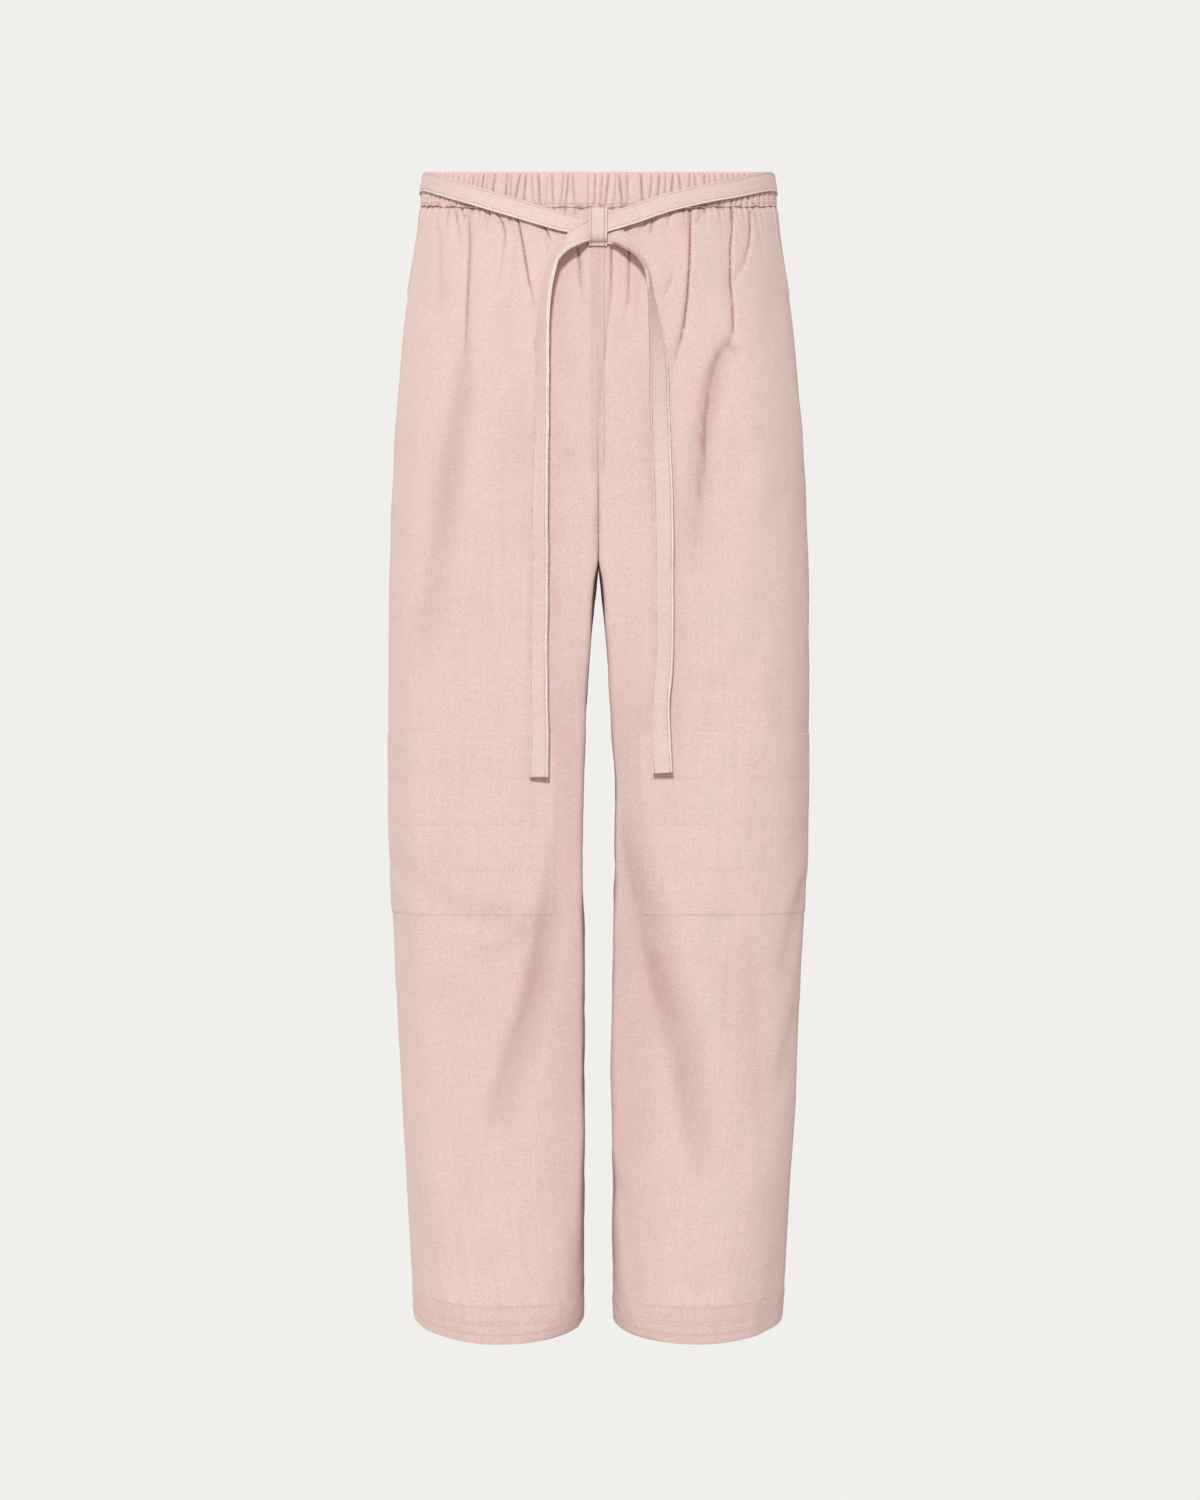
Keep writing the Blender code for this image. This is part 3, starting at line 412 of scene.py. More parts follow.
# %% Fold tables
Fold = namedtuple("Fold", "lean sharp bends")       # sharp 1 is a knife-like crease, 2 a soft trough
FRONT_FOLDS = (
    # the wearer's right hip, from the side seam inwards
    Fold(1, 1.6, ((-145.1, -48.7, 2, 3), (-144.2, -80.6, 2.8, 4), (-142.4, -108.9, 2, 6),
        (-146, -144.3, 0, 8))),
    Fold(1, 1.2, ((-136.2, -33.7, 2.6, 1.4), (-137.1, -41.6, 2, 1.6), (-138, -52.3, 0, 3))),
    Fold(1, 1.2, ((-129.1, -32.8, 3, 1.5), (-127.4, -45.2, 2.4, 2), (-123.8, -69.1, 1.2, 3),
        (-120.3, -91.2, 0, 5))),
    Fold(0.8, 1.2, ((-122.9, -32.8, 3, 1.5), (-121.2, -38.1, 2.4, 1.6), (-117.6, -44.3, 0, 2.4))),
    Fold(2.8, 1.1, ((-117.6, -34.6, 3, 1.5), (-115.9, -64.6, 3.6, 1.3), (-116.3, -84.1, 3.8, 1.3),
        (-117.6, -117.8, 3.6, 1.3), (-118.1, -150.6, 2.6, 1.6), (-118.5, -185, 1.3, 2.8),
        (-118.5, -222.4, 0.6, 5), (-119.4, -255.5, 0, 8))),
    Fold(1.4, 1.9, ((-119.4, -120.4, 0, 10), (-122.1, -214.8, 4.2, 11), (-134.4, -285.9, 5.0, 13),
        (-146.8, -383.2, 3.4, 15), (-168.1, -489.4, 0, 18))),
    Fold(1, 1.2, ((-99.9, -38.1, 2.4, 1.5), (-101.7, -51.4, 0, 2.4))),
    Fold(1, 1.2, ((-96.4, -39.9, 1.8, 1.5), (-92.9, -52.3, 0, 2.6))),
    Fold(0.6, 1.2, ((-89.3, -40.8, 3.4, 1.5), (-84.9, -50.5, 3.4, 1.5), (-83.1, -59.3, 2.4, 1.8),
        (-85.8, -84.1, 1.4, 3), (-89.3, -104.5, 1, 4), (-91.1, -131, 0, 5))),
    Fold(1, 1.4, ((-76, -48.7, 1.2, 3), (-74.3, -73.5, 1.4, 3), (-76.9, -108.9, 1.2, 4),
        (-82.2, -135.4, 0, 6))),
    Fold(0.6, 1.2, ((-71.6, -45.2, 3.6, 1.4), (-69, -59.3, 3.8, 1.4), (-66.3, -73.5, 3.8, 1.5),
        (-61.9, -100.1, 3, 1.6), (-57.5, -119.5, 1.6, 2.2), (-54.8, -135.4, 0, 4))),
    Fold(0.6, 1.2, ((-47.7, -53.1, 3.2, 1.4), (-44.2, -61.1, 3, 1.4), (-40.6, -70, 0, 2.4))),
    Fold(1, 1.2, ((-45.1, -64.6, 1.2, 1.4), (-45.1, -96.5, 0, 2))),
    Fold(0.5, 1.5, ((-53.9, -144.3, 0, 2.4), (-53, -157.6, 1.8, 2), (-52.1, -188.6, 1.4, 2.4),
        (-52.1, -232.8, 0, 5))),
    Fold(1, 2, ((-98.2, -108.9, 0, 12), (-95.5, -200.1, -1.4, 16), (-103.5, -300.1, -1.6, 20),
        (-109.7, -400.1, 0, 22))),
    Fold(1.6, 2, ((-83.1, -108.9, 0, 8), (-83.1, -126.6, 1.6, 10), (-87.5, -227.5, 1.2, 15),
        (-92, -317.8, 0, 18))),
    Fold(1, 2, ((-61.9, -157.6, 0, 10), (-63.6, -239.9, 1.6, 13), (-60.1, -330.1, 0, 16))),
    Fold(1, 2, ((-36.2, -231.9, 0, 8), (-25.6, -262, 1.8, 9), (-16.7, -287.7, 0, 9))),
    # centre front, inside the strands of the tie
    Fold(1.6, 1.2, ((-18.5, -73.5, 3.6, 1.6), (-16.7, -87.7, 3.4, 1.6), (-15.9, -101.8, 2.6, 2),
        (-12.3, -122.2, 1.4, 2.8), (-10.5, -133.7, 0, 4))),
    Fold(1, 1.3, ((11.6, -73.5, 3.2, 1.5), (11.6, -95.6, 2.6, 1.6), (11.1, -117.8, 1.8, 2),
        (8, -144.3, 1.4, 2), (4.5, -179.7, 1.4, 2), (2.7, -206.2, 1.2, 2),
        (2.3, -232.8, 0, 3))),
    Fold(1, 1.3, ((27.5, -75.3, 3, 1.5), (27.1, -95.6, 2.4, 1.5), (26.6, -117.8, 1.8, 1.6),
        (24, -133.7, 1, 2), (22.2, -144.3, 0, 3))),
    Fold(1, 1.6, ((39, -84.1, 0, 4), (37.2, -108.9, 1.4, 4), (34.6, -131, 1.2, 5), (35.5, -170.9, 0, 7))),
    Fold(1, 2, ((-30, -100.1, 1.2, 7), (-30.9, -170.9, 1.3, 9), (-28.2, -230.1, 0, 11))),
    Fold(1, 2, ((-19.4, -144.3, 0, 4), (-21.2, -179.7, 0.8, 4), (-22.1, -223.9, 0, 5))),
    Fold(1, 1.7, ((1.4, -179.7, 0, 4), (2.3, -232.8, 1.0, 4), (1.5, -290, 1.2, 4), (0, -345.2, 1.0, 5))),
    # the wearer's left hip
    Fold(1, 1.2, ((47.9, -46.9, 3.2, 1.5), (47, -55.8, 2.6, 1.6), (45.2, -65.5, 0, 2.4))),
    Fold(1, 1.4, ((43.4, -47.8, 1.6, 2.5), (38.1, -55.8, 1.6, 2.5), (32.8, -64.6, 0, 3))),
    Fold(1, 1.3, ((66.4, -84.1, 0, 3), (64.7, -100.1, 1.8, 2), (60.3, -110.7, 1.8, 2),
        (54.9, -122.2, 0, 3))),
    Fold(0.4, 1.1, ((82.4, -37.2, 3.6, 1.5), (81.9, -64.6, 4.4, 1.5), (80.6, -91.2, 4.6, 1.5),
        (78.8, -117.8, 4.8, 1.7), (75.7, -142.5, 4.4, 2.2), (70, -163.8, 3, 4),
        (63.8, -188.6, 1.4, 7), (59.4, -216.9, 0, 10))),
    Fold(0.5, 1.4, ((94.8, -38.1, 1.6, 2.5), (89.5, -45.2, 1.8, 2.5), (84.1, -54, 0, 3))),
    Fold(0.5, 1.1, ((121.3, -34.6, 3.4, 1.4), (120.9, -48.7, 4, 1.4), (118.7, -71.7, 4.4, 1.4),
        (119.1, -95.6, 4.4, 1.4), (120.4, -122.2, 4.2, 1.5), (120, -142.5, 3.2, 2),
        (117.8, -155.8, 1.4, 4), (116, -163.8, 0, 5))),
    Fold(1, 1.8, ((116, -84.1, 0, 5), (115.1, -108.9, 1.4, 6), (116.9, -135.4, 1.2, 6),
        (118.7, -153.1, 0, 6))),
    Fold(2.2, 1.5, ((121.4, -150.6, 0, 4), (114.2, -157.6, 4.0, 4), (105.8, -170.9, 6.4, 4.5),
        (101, -185, 7.0, 5.4), (97.4, -206.2, 6.8, 6.5), (94.8, -232.8, 6.4, 8.5),
        (92.1, -270.9, 5.4, 11), (85.9, -310.7, 3.6, 13), (80.6, -383.2, 0, 16))),
    Fold(1, 1.8, ((112, -160, 0, 6), (121.1, -163.1, 2.2, 6), (131.4, -171.1, 0, 8))),
    Fold(1, 2, ((112.5, -185, 0, 9), (106.3, -234.6, -3, 13), (103.6, -300.1, -1.8, 17),
        (108, -370, 0, 20))),
    Fold(1, 1.2, ((118.7, -35.4, 2.2, 1.4), (119.5, -50.5, 0, 2))),
    Fold(0.6, 1.2, ((137.2, -32.8, 3.6, 1.4), (138.1, -46.9, 3.8, 1.4), (136.4, -62.9, 3.2, 1.6),
        (131.1, -80.6, 2.2, 2.6), (124, -94.7, 1.4, 4), (118.7, -108.9, 0, 6))),
    Fold(1, 1.3, ((141.7, -34.6, 1.6, 2), (146.1, -54, 1.4, 3), (151.4, -84.1, 0, 5))),
    Fold(1, 2, ((52.3, -200.9, 0, 12), (50.5, -279.7, 1.8, 14), (55.8, -370, 0, 16))),
    Fold(0.7, 1.6, ((62.9, -188.6, 0, 6), (56.7, -223.9, 1.2, 8), (53.2, -268.2, 0, 12))),
    # thighs
    Fold(1.0, 2.0, ((74, -448, 0, 10), (86, -446, -0.9, 11), (104, -440, -1.3, 12), (118, -420, -1.2, 12),
        (136, -400, 0, 8))),
    Fold(1.0, 2.0, ((88, -462, 0, 11), (112, -456, 0.9, 12), (132, -430, 0, 12))),
    Fold(1.0, 2.0, ((-39, -330, 0, 10), (-34, -400, 1.6, 12), (-28, -472, 0, 12))),
    Fold(1.0, 2.0, ((36, -350, 0, 10), (31, -420, 1.6, 12), (28, -500, 0, 12))),
    # below the wearer's right knee
    Fold(1.0, 2.0, ((-176, -618, 1.6, 14), (-130, -652, 2.2, 15), (-70, -672, 2.0, 14), (-38, -660, 0, 13))),
    Fold(2.2, 1.7, ((-34, -560, 0, 8), (-40, -620, 3.0, 8), (-46.8, -669, 6.0, 8), (-58, -727, 7.0, 9),
        (-76, -780, 6.0, 10), (-90, -830, 3.6, 11), (-98, -880, 0, 12))),
    Fold(1.0, 2.0, ((-60, -720, 0, 8), (-72, -750, -1.8, 8), (-86, -800, -1.4, 9), (-100, -840, 0, 10))),
    Fold(1.0, 1.9, ((-42, -664, 0, 10), (-66, -686, 1.8, 10), (-100, -700, 1.2, 11), (-132, -694, 0, 11))),
    Fold(1.0, 2.0, ((-18, -700, 0, 9), (-16, -800, 2.4, 10), (-16, -860, 0, 10))),
    Fold(1.0, 2.0, ((-30, -820, 0, 9), (-22, -900, 2.4, 10), (-18, -1000, 2.0, 9), (-20, -1040, 0, 9))),
    Fold(1.0, 2.0, ((-128, -984, 0, 12), (-100, -974, 1.3, 12), (-74, -968, 0, 12))),
    Fold(1.0, 2.0, ((-120, -840, 0, 14), (-112, -900, 1.4, 18), (-116, -960, 0, 18))),
    # below the wearer's left knee
    Fold(2.0, 1.7, ((16, -500, 0, 8), (21, -560, 4.0, 8), (31, -620, 6.5, 8.5), (42.6, -675, 8.0, 9),
        (57, -735, 7.6, 9), (73.5, -795, 6.4, 10), (82, -840, 4.8, 10), (88, -880, 2.6, 11),
        (98, -920, 0, 12))),
    Fold(1.0, 2.0, ((104, -640, 0, 16), (114, -720, 1.2, 18), (128, -800, 1.0, 18), (140, -860, 0, 18))),
    Fold(1.0, 1.7, ((132, -640, 0, 10), (138, -720, 2.0, 11), (146, -820, 1.6, 12), (150, -880, 0, 12))),
    Fold(1.0, 1.8, ((37, -654, -1.4, 6), (50, -690, -2.2, 7), (60, -704, 0, 7))),
    Fold(1.0, 1.8, ((58, -742, -1.0, 6), (70, -790, -1.6, 7), (84, -812, 0, 7))),
    Fold(1.0, 2.0, ((36, -760, 0, 12), (30, -830, -2.6, 14), (34, -890, -2.0, 14), (44, -930, 0, 14))),
    Fold(1.0, 2.0, ((11, -870, 0, 7), (20, -914, 3.2, 8), (28, -950, 3.6, 9), (33, -990, 2.8, 9),
        (34, -1036, 0, 9))),
    Fold(1.0, 2.0, ((60, -918, 0, 12), (64, -945, 1.4, 12), (60, -985, 0, 13))),
    Fold(1.0, 2.0, ((56, -984, 0, 11), (88, -992, 1.5, 11), (122, -996, 0, 12))),
    Fold(1.0, 1.7, ((183, -636, 2.2, 6), (176, -660, 2.4, 6), (167, -700, 1.8, 7), (164, -740, 0, 8))),
    Fold(1.0, 1.7, ((175, -752, 1.8, 6), (166, -800, 1.8, 7), (157, -842, 0, 8))),
)
BACK_FOLDS = (
    Fold(0.6, 1.3, ((-132, -24, 2.6, 3), (-128, -70, 3.2, 4), (-126, -130, 2.6, 5), (-124, -205, 0, 9))),
    Fold(1.6, 1.4, ((-106, -22, 2.0, 3), (-107, -60, 1.8, 5), (-104, -110, 0, 7))),
    Fold(2.0, 1.3, ((-88, -22, 2.8, 3), (-90, -70, 2.6, 4), (-96, -140, 1.8, 8), (-100, -220, 0, 12))),
    Fold(0.7, 1.3, ((-56, -22, 2.8, 3), (-53, -75, 3.2, 4), (-50, -140, 2.6, 6), (-48, -230, 0, 10))),
    Fold(1.0, 1.5, ((-34, -22, 1.8, 3), (-36, -60, 1.4, 5), (-38, -100, 0, 7))),
    Fold(1.5, 1.4, ((-16, -22, 2.4, 3), (-18, -66, 2.2, 4), (-22, -120, 0, 7))),
    Fold(0.7, 1.4, ((20, -22, 2.2, 3), (22, -70, 2.4, 4), (25, -130, 0, 8))),
    Fold(1.8, 1.3, ((48, -22, 2.8, 3), (50, -80, 3.0, 4), (55, -150, 2.4, 7), (58, -235, 0, 11))),
    Fold(1.0, 1.5, ((68, -22, 1.8, 3), (67, -60, 1.4, 5), (64, -96, 0, 7))),
    Fold(0.6, 1.3, ((90, -22, 2.6, 3), (86, -70, 2.6, 4), (82, -130, 1.6, 8), (80, -190, 0, 11))),
    Fold(1.8, 1.3, ((116, -22, 2.8, 3), (118, -80, 3.0, 4), (126, -150, 2.4, 7), (134, -225, 0, 10))),
    Fold(1.0, 1.5, ((142, -24, 2.0, 3), (144, -70, 1.6, 5), (148, -110, 0, 7))),
    # under the seat
    Fold(1.0, 1.9, ((-22, -372, 0, 11), (-60, -334, 4.4, 14), (-105, -302, 3.6, 15), (-140, -290, 0, 15))),
    Fold(1.0, 1.9, ((-50, -405, 0, 13), (-90, -388, 3.8, 14), (-135, -372, 2.4, 14), (-165, -366, 0, 13))),
    Fold(1.0, 1.9, ((24, -372, 0, 11), (64, -340, 4.4, 14), (100, -306, 3.4, 15), (136, -296, 0, 15))),
    Fold(1.0, 1.9, ((58, -418, 0, 13), (100, -396, 3.8, 14), (140, -378, 2.4, 14), (168, -374, 0, 13))),
    # behind the knees
    Fold(1.0, 1.8, ((-20, -640, 2.8, 10), (-64, -618, 5.6, 12), (-120, -604, 4.6, 13), (-170, -600, 0, 12))),
    Fold(1.0, 1.8, ((-30, -664, 2.0, 10), (-80, -682, 5.0, 12), (-130, -690, 3.0, 12), (-168, -684, 0, 11))),
    Fold(1.0, 1.8, ((-60, -560, 0, 10), (-100, -556, 2.6, 11), (-150, -548, 0, 11))),
    Fold(0.7, 2.0, ((-122, -710, 0, 13), (-108, -790, 5.4, 15), (-90, -880, 4.0, 15), (-84, -940, 0, 14))),
    Fold(1.0, 2.0, ((-56, -870, 0, 12), (-82, -930, 3.4, 14), (-106, -990, 0, 13))),
    Fold(1.0, 1.8, ((20, -628, 2.8, 10), (70, -616, 5.6, 12), (124, -624, 4.6, 13), (172, -630, 0, 12))),
    Fold(1.0, 1.8, ((30, -700, 2.0, 10), (86, -684, 5.0, 12), (128, -664, 3.0, 12), (166, -650, 0, 11))),
    Fold(1.0, 1.8, ((64, -556, 0, 10), (108, -564, 2.6, 11), (150, -572, 0, 11))),
    Fold(1.3, 2.0, ((68, -715, 0, 13), (86, -790, 5.4, 15), (106, -880, 4.0, 15), (112, -940, 0, 14))),
    Fold(1.0, 2.0, ((124, -890, 0, 12), (100, -940, 3.4, 14), (80, -1000, 0, 13))),
)
FOLDS = {"front": FRONT_FOLDS, "back": BACK_FOLDS}
print(len(FRONT_FOLDS), "folds in front,", len(BACK_FOLDS), "behind")

# %% [markdown]
# A point takes a fold's depth and width from the nearest spot on the fold's path. All the folds of a
# panel are added up, so two that meet run into each other as they do in cloth.

# %% Height of the folds
Bend = namedtuple("Bend", "x z depth width")        # what the numbers of a bend are
NARROWEST_FOLD = 0.5


def fold_height(folds, x, z):
    """What the folds add to the cloth at (x, z), seen from the front or the back. In millimetres."""
    height = np.zeros(x.shape)
    for fold in folds:
        nearest = np.full(x.shape, np.inf)
        depth, width, right = (np.zeros(x.shape) for _ in range(3))
        for (x0, z0, d0, w0), (x1, z1, d1, w1) in zip(fold.bends, fold.bends[1:]):
            run_x, run_z = x1 - x0, z1 - z0
            share = np.clip(((x - x0) * run_x + (z - z0) * run_z) / (run_x ** 2 + run_z ** 2), 0, 1)
            off_x, off_z = x - x0 - share * run_x, z - z0 - share * run_z
            away = np.hypot(off_x, off_z)
            closer = away < nearest
            nearest = np.where(closer, away, nearest)
            depth = np.where(closer, d0 + (d1 - d0) * ramp(share, 0, 1), depth)
            width = np.where(closer, w0 + (w1 - w0) * share, width)
            right = np.where(closer, off_z * run_x - off_x * run_z, right)
        width = width * np.where(right > 0, fold.lean, 1.0)
        height -= depth * bell(nearest, np.maximum(width, NARROWEST_FOLD), fold.sharp)
    return height


deepest = max(Bend(*bend).depth for folds in FOLDS.values() for fold in folds for bend in fold.bends)
print(f"the deepest fold is {deepest} mm")

# %% [markdown]
# ## From rows of points to cloth
#
# A panel is a sheet with an outside and an inside a millimetre apart. Blender's Solidify modifier could
# add the inside, but it would double every point. The inside shows little, so it is built with half as
# many rows and columns, and the rim joins the two. A point attribute named `grain` stores how far each
# point lies across and along the cut cloth, in metres, so the weave follows the panel and not the room.

# %% Objects from points
def link(name, points, faces, grain, smooth_angle=60.0, crease=None):
    """An object from points in millimetres, with its grain and the painted shade at each point."""
    mesh = bpy.data.meshes.new(name)
    mesh.from_pydata((np.asarray(points, float) * MM).tolist(), [], faces)
    mesh.update()
    layer = mesh.attributes.new("grain", "FLOAT_VECTOR", "POINT")
    layer.data.foreach_set("vector", (np.asarray(grain, np.float32) * MM).ravel())
    if crease is not None:
        layer = mesh.attributes.new("crease", "FLOAT", "POINT")
        layer.data.foreach_set("value", np.asarray(crease, np.float32).ravel())
    mesh.shade_smooth()
    mesh.set_sharp_from_angle(angle=math.radians(smooth_angle))
    obj = bpy.data.objects.new(name, mesh)
    bpy.context.scene.collection.objects.link(obj)
    return obj


def grid_faces(rows, columns, first=0):
    """Quads of a grid of points whose numbers start at first."""
    corner = first + np.arange(rows - 1)[:, None] * columns + np.arange(columns - 1)
    quads = np.stack([corner, corner + columns, corner + columns + 1, corner + 1], axis=-1)
    return quads.reshape(-1, 4)


def tube_faces(rings, around, joined, inside_out):
    """Quads between rings of points; joined, the last ring meets the first."""
    here = (np.arange(rings if joined else rings - 1) * around)[:, None]
    there = (here + around) % (rings * around)
    first = np.arange(around)
    second = (first + 1) % around
    if inside_out:
        first, second = second, first
    quads = np.stack([here + first, here + second, there + second, there + first], axis=-1)
    return quads.reshape(-1, 4).tolist()


print("a 3 x 3 grid has", len(grid_faces(3, 3)), "faces")

# %% [markdown]
# The rim needs care, because the outside has two steps for every one of the inside. Three triangles
# bridge each such pair.

# %% Walls of cloth
def rim_faces(fine, coarse):
    """Joins an edge of the outside to the same edge of the inside, which has half as many steps."""
    faces = []
    for k in range(len(coarse) - 1):
        left, middle, right = fine[2 * k: 2 * k + 3]
        faces.append((left, middle, coarse[k]))
        faces.append((middle, right, coarse[k + 1]))
        faces.append((coarse[k], middle, coarse[k + 1]))
    return faces


def shell(name, outer, inner, grain, flip, crease=None):
    """A closed wall of cloth. outer is a grid of points, inner one with half as many steps."""
    rows, columns = outer.shape[:2]
    few_rows, few_columns = inner.shape[:2]
    ids = np.arange(rows * columns).reshape(rows, columns)
    inner_ids = rows * columns + np.arange(few_rows * few_columns).reshape(few_rows, few_columns)
    faces = grid_faces(rows, columns)[:, ::-1 if flip else 1].tolist()
    faces += grid_faces(few_rows, few_columns, rows * columns)[:, ::1 if flip else -1].tolist()
    edges = ((ids[0], inner_ids[0], 1), (ids[-1], inner_ids[-1], -1),
             (ids[:, 0], inner_ids[:, 0], -1), (ids[:, -1], inner_ids[:, -1], 1))
    for fine, coarse, turn in edges:
        for face in rim_faces(fine.tolist(), coarse.tolist()):
            faces.append(face if (turn > 0) != flip else face[::-1])
    points = np.concatenate([outer.reshape(-1, 3), inner.reshape(-1, 3)])
    weave = np.concatenate([grain.reshape(-1, 3), grain[::2, ::2].reshape(-1, 3)])
    if crease is not None:
        crease = np.concatenate([crease.ravel(), crease[::2, ::2].ravel()])
    return link(name, points, faces, weave, crease=crease)


corner_faces = rim_faces([0, 1, 2], [3, 4])
print("one step of the rim:", corner_faces)

# %% [markdown]
# Narrow creases get painted shade: the colour is darkened where a crease would hide the cloth from the
# light. A crease is found by comparing each height with the mean of its neighbours. The slow unevenness
# of cloth is noise, in bumps of a stated size.

# %% Painted crease shade and noise
# painted crease shade starts at this depth, in mm, and is full this much deeper
CREASE_STARTS, CREASE_FULL = 0.12, 1.45    # the depth where the colour starts to deepen, and how much more
SEED_STEP = 17.3                           # moves each seed's noise to another place


def smooth_out(heights, steps, axis):
    """Each height replaced by the mean of its neighbours up to a number of steps away."""
    padding = [(0, 0), (0, 0)]
    padding[axis] = (steps, steps)
    wide = np.pad(heights, padding, mode="edge")
    count = heights.shape[axis]
    return sum(np.take(wide, range(k, k + count), axis) for k in range(2 * steps + 1)) / (2 * steps + 1)


def crease_shade(heights):
    """Painted shade: 0 on open cloth and 1 at the bottom of a narrow crease."""
    around = smooth_out(smooth_out(heights, 3, 1), 1, 0)
    return np.clip((around - heights - CREASE_STARTS) / CREASE_FULL, 0, 1)


def surface_normals(points, flip):
    """Where each point of a grid faces."""
    down = np.gradient(points, axis=0)
    along = np.gradient(points, axis=1)
    normals = np.cross(down, along)
    normals /= np.linalg.norm(normals, axis=-1, keepdims=True)
    return -normals if flip else normals


def noise_at(points, size, seed):
    """Smooth noise from -1 to 1 at points in millimetres; size is (x, y, z) of a bump."""
    scaled = points.reshape(-1, 3) / np.array(size, float) + SEED_STEP * seed
    return np.array([noise.noise(Vector(p)) for p in scaled.tolist()]).reshape(points.shape[:-1])


print("noise at the origin:", noise_at(np.zeros((1, 3)), (1, 1, 1), 1))

# %% [markdown]
# ## The four leg panels
#
# Each panel runs from the casing to the hem, and from the centre seam or the inseam to the side seam.
# Rows of points lie closer together where the cloth is busy: under the casing, over the knee and at the
# hem. Relief is then added along the outward direction: gathers, folds, a slow unevenness that all
# hanging cotton has, the seams, the pocket mouth and the turned-up hem.

# %% Rows of a panel
SEAM_GAP = 0.3
COLUMNS = {"front": 289, "back": 169}
CLOTH = 1.1                # thickness of the cotton, in mm
RowStep = namedtuple("RowStep", "until step")
ROW_STEPS = (
    RowStep(-62, 1.6), RowStep(-130, 2.6), RowStep(-325, 4.6), RowStep(-338, 2.6), RowStep(-350, 1.2),
    RowStep(-365, 3.0), RowStep(-495, 5.4), RowStep(-670, 4.0), RowStep(-1002, 5.5), RowStep(HEM, 1.9),
)


def panel_levels():
    """The level of every row; their number is odd, so that every second one makes the inside."""
    levels = [BAND_BOTTOM - SEAM_GAP]
    for row in ROW_STEPS:
        count = max(1, round((levels[-1] - row.until) / row.step))
        levels += list(np.linspace(levels[-1], row.until, count + 1)[1:])
    if len(levels) % 2 == 0:
        levels.insert(1, (levels[0] + levels[1]) / 2)
    return np.array(levels)


LEVELS_DOWN = panel_levels()


def row_at(level):
    """Which row of a panel lies at a level, with its fraction."""
    return np.interp(-np.asarray(level, float), -LEVELS_DOWN, np.arange(len(LEVELS_DOWN)))


print(f"{len(LEVELS_DOWN)} rows, {COLUMNS['front']} columns in front and {COLUMNS['back']} behind")

# %% [markdown]
# Seams, stitches and layers of cloth are all small steps beside an edge. A ridge has a height and a
# width, and is a groove where its height is negative. A layer is a second thickness of cloth that ends
# a stated distance from the edge. With these two, each seam is a row of numbers.

# %% Ridges and layers
Ridge = namedtuple("Ridge", "height width")
Layer = namedtuple("Layer", "height start end")
TURN_UP = 34.5                                 # height of the hem
SEAM, SEAT_SEAM = Ridge(-0.8, 1.5), Ridge(-0.7, 1.3)
SIDE_LAYER, SEAT_LAYER = Layer(0.35, 7.5, 9.5), Layer(0.4, 6.5, 8.5)
HEM_LAYER, HEM_EDGE = Layer(0.75, TURN_UP - 0.8, TURN_UP + 0.8), Layer(-0.5, 0.0, 3.0)


def ridge(row, away):
    """A ridge's height at a distance from its middle."""
    return row.height * bell(away, row.width)


def layer(row, away):
    """A layer's height at a distance from the edge that it is sewn along."""
    return row.height * (1 - ramp(away, row.start, row.end))


print(f"a seam is {-SEAM.height} mm deep, the hem {HEM_LAYER.height} mm thicker than one layer")

# %% [markdown]
# The slanted pocket is set into the side seam. Its mouth is a rolled edge a little in front of the
# seam, with a hollow behind it and a row of stitches beside it. At centre front the seam is felled: one
# edge is folded over the other and stitched down, so it stands out as a flat strip.

# %% Pocket mouth and felled seam
MOUTH = {1: 7.0, -1: 3.5}             # the pocket mouth lies this far in front of the side seam
MOUTH_CLOSES = (-60, -10)             # between these levels it comes nearer,
MOUTH_NEARER = 0.4                    # by this share
MOUTH_ROLL, MOUTH_HOLLOW, MOUTH_STITCH = Ridge(1.3, 7.0), Ridge(-2.4, 7.0), Ridge(-0.7, 1.0)
MOUTH_STITCH_FROM = 5.5               # this far in front of the mouth
FELL = (-6.6, 5.2)                    # the felled seam at centre front, in x
FELL_END, FELL_FADE, FELL_HEIGHT = -262.0, 20.0, 0.75


def mouth_place(z, x):
    """How far the pocket mouth lies from the side seam at level z."""
    widest = MOUTH[1 if x.mean() > 0 else -1]
    return widest * (1 - MOUTH_NEARER * ramp(z, *MOUTH_CLOSES)) * ramp(z, POCKET_BOTTOM - 30, -60) ** 0.5


def pocket_relief(z, from_side, x):
    """The pocket mouth, and below it the layers of the side seam."""
    is_open = ramp(z, POCKET_BOTTOM - 4, POCKET_BOTTOM + 4)
    before = from_side - mouth_place(z, x)
    facing = ramp(before, -0.5, 0.5)
    height = facing * ridge(MOUTH_ROLL, before) + (1 - facing) * ridge(MOUTH_HOLLOW, before)
    height += ridge(MOUTH_STITCH, before - MOUTH_STITCH_FROM)
    return is_open * height + (1 - is_open) * layer(SIDE_LAYER, from_side)


def fell_relief(z, x):
    """The felled seam at centre front."""
    on_fell = ramp(x, FELL[0] - 0.8, FELL[0] + 0.4) * (1 - ramp(x, FELL[1] - 0.4, FELL[1] + 0.8))
    return FELL_HEIGHT * on_fell * ramp(z, FELL_END - FELL_FADE, FELL_END)


print(f"pocket mouth {BAND_BOTTOM - POCKET_BOTTOM:.0f} mm long, felled seam {FELL[1] - FELL[0]:.1f} mm wide")

# %% [markdown]
# The remaining seams: a puckered groove down each side, one down each inseam below the crotch, and the
# seat's seam behind, which lies on its own folded allowance.

# %% Relief of the seams
POCKET_AT_BACK = Ridge(-1.0, 7.0)     # the back panel sinks beside the pocket
PUCKER, PUCKER_WAVE, PUCKER_REACH = 0.16, 2.3, 4.0


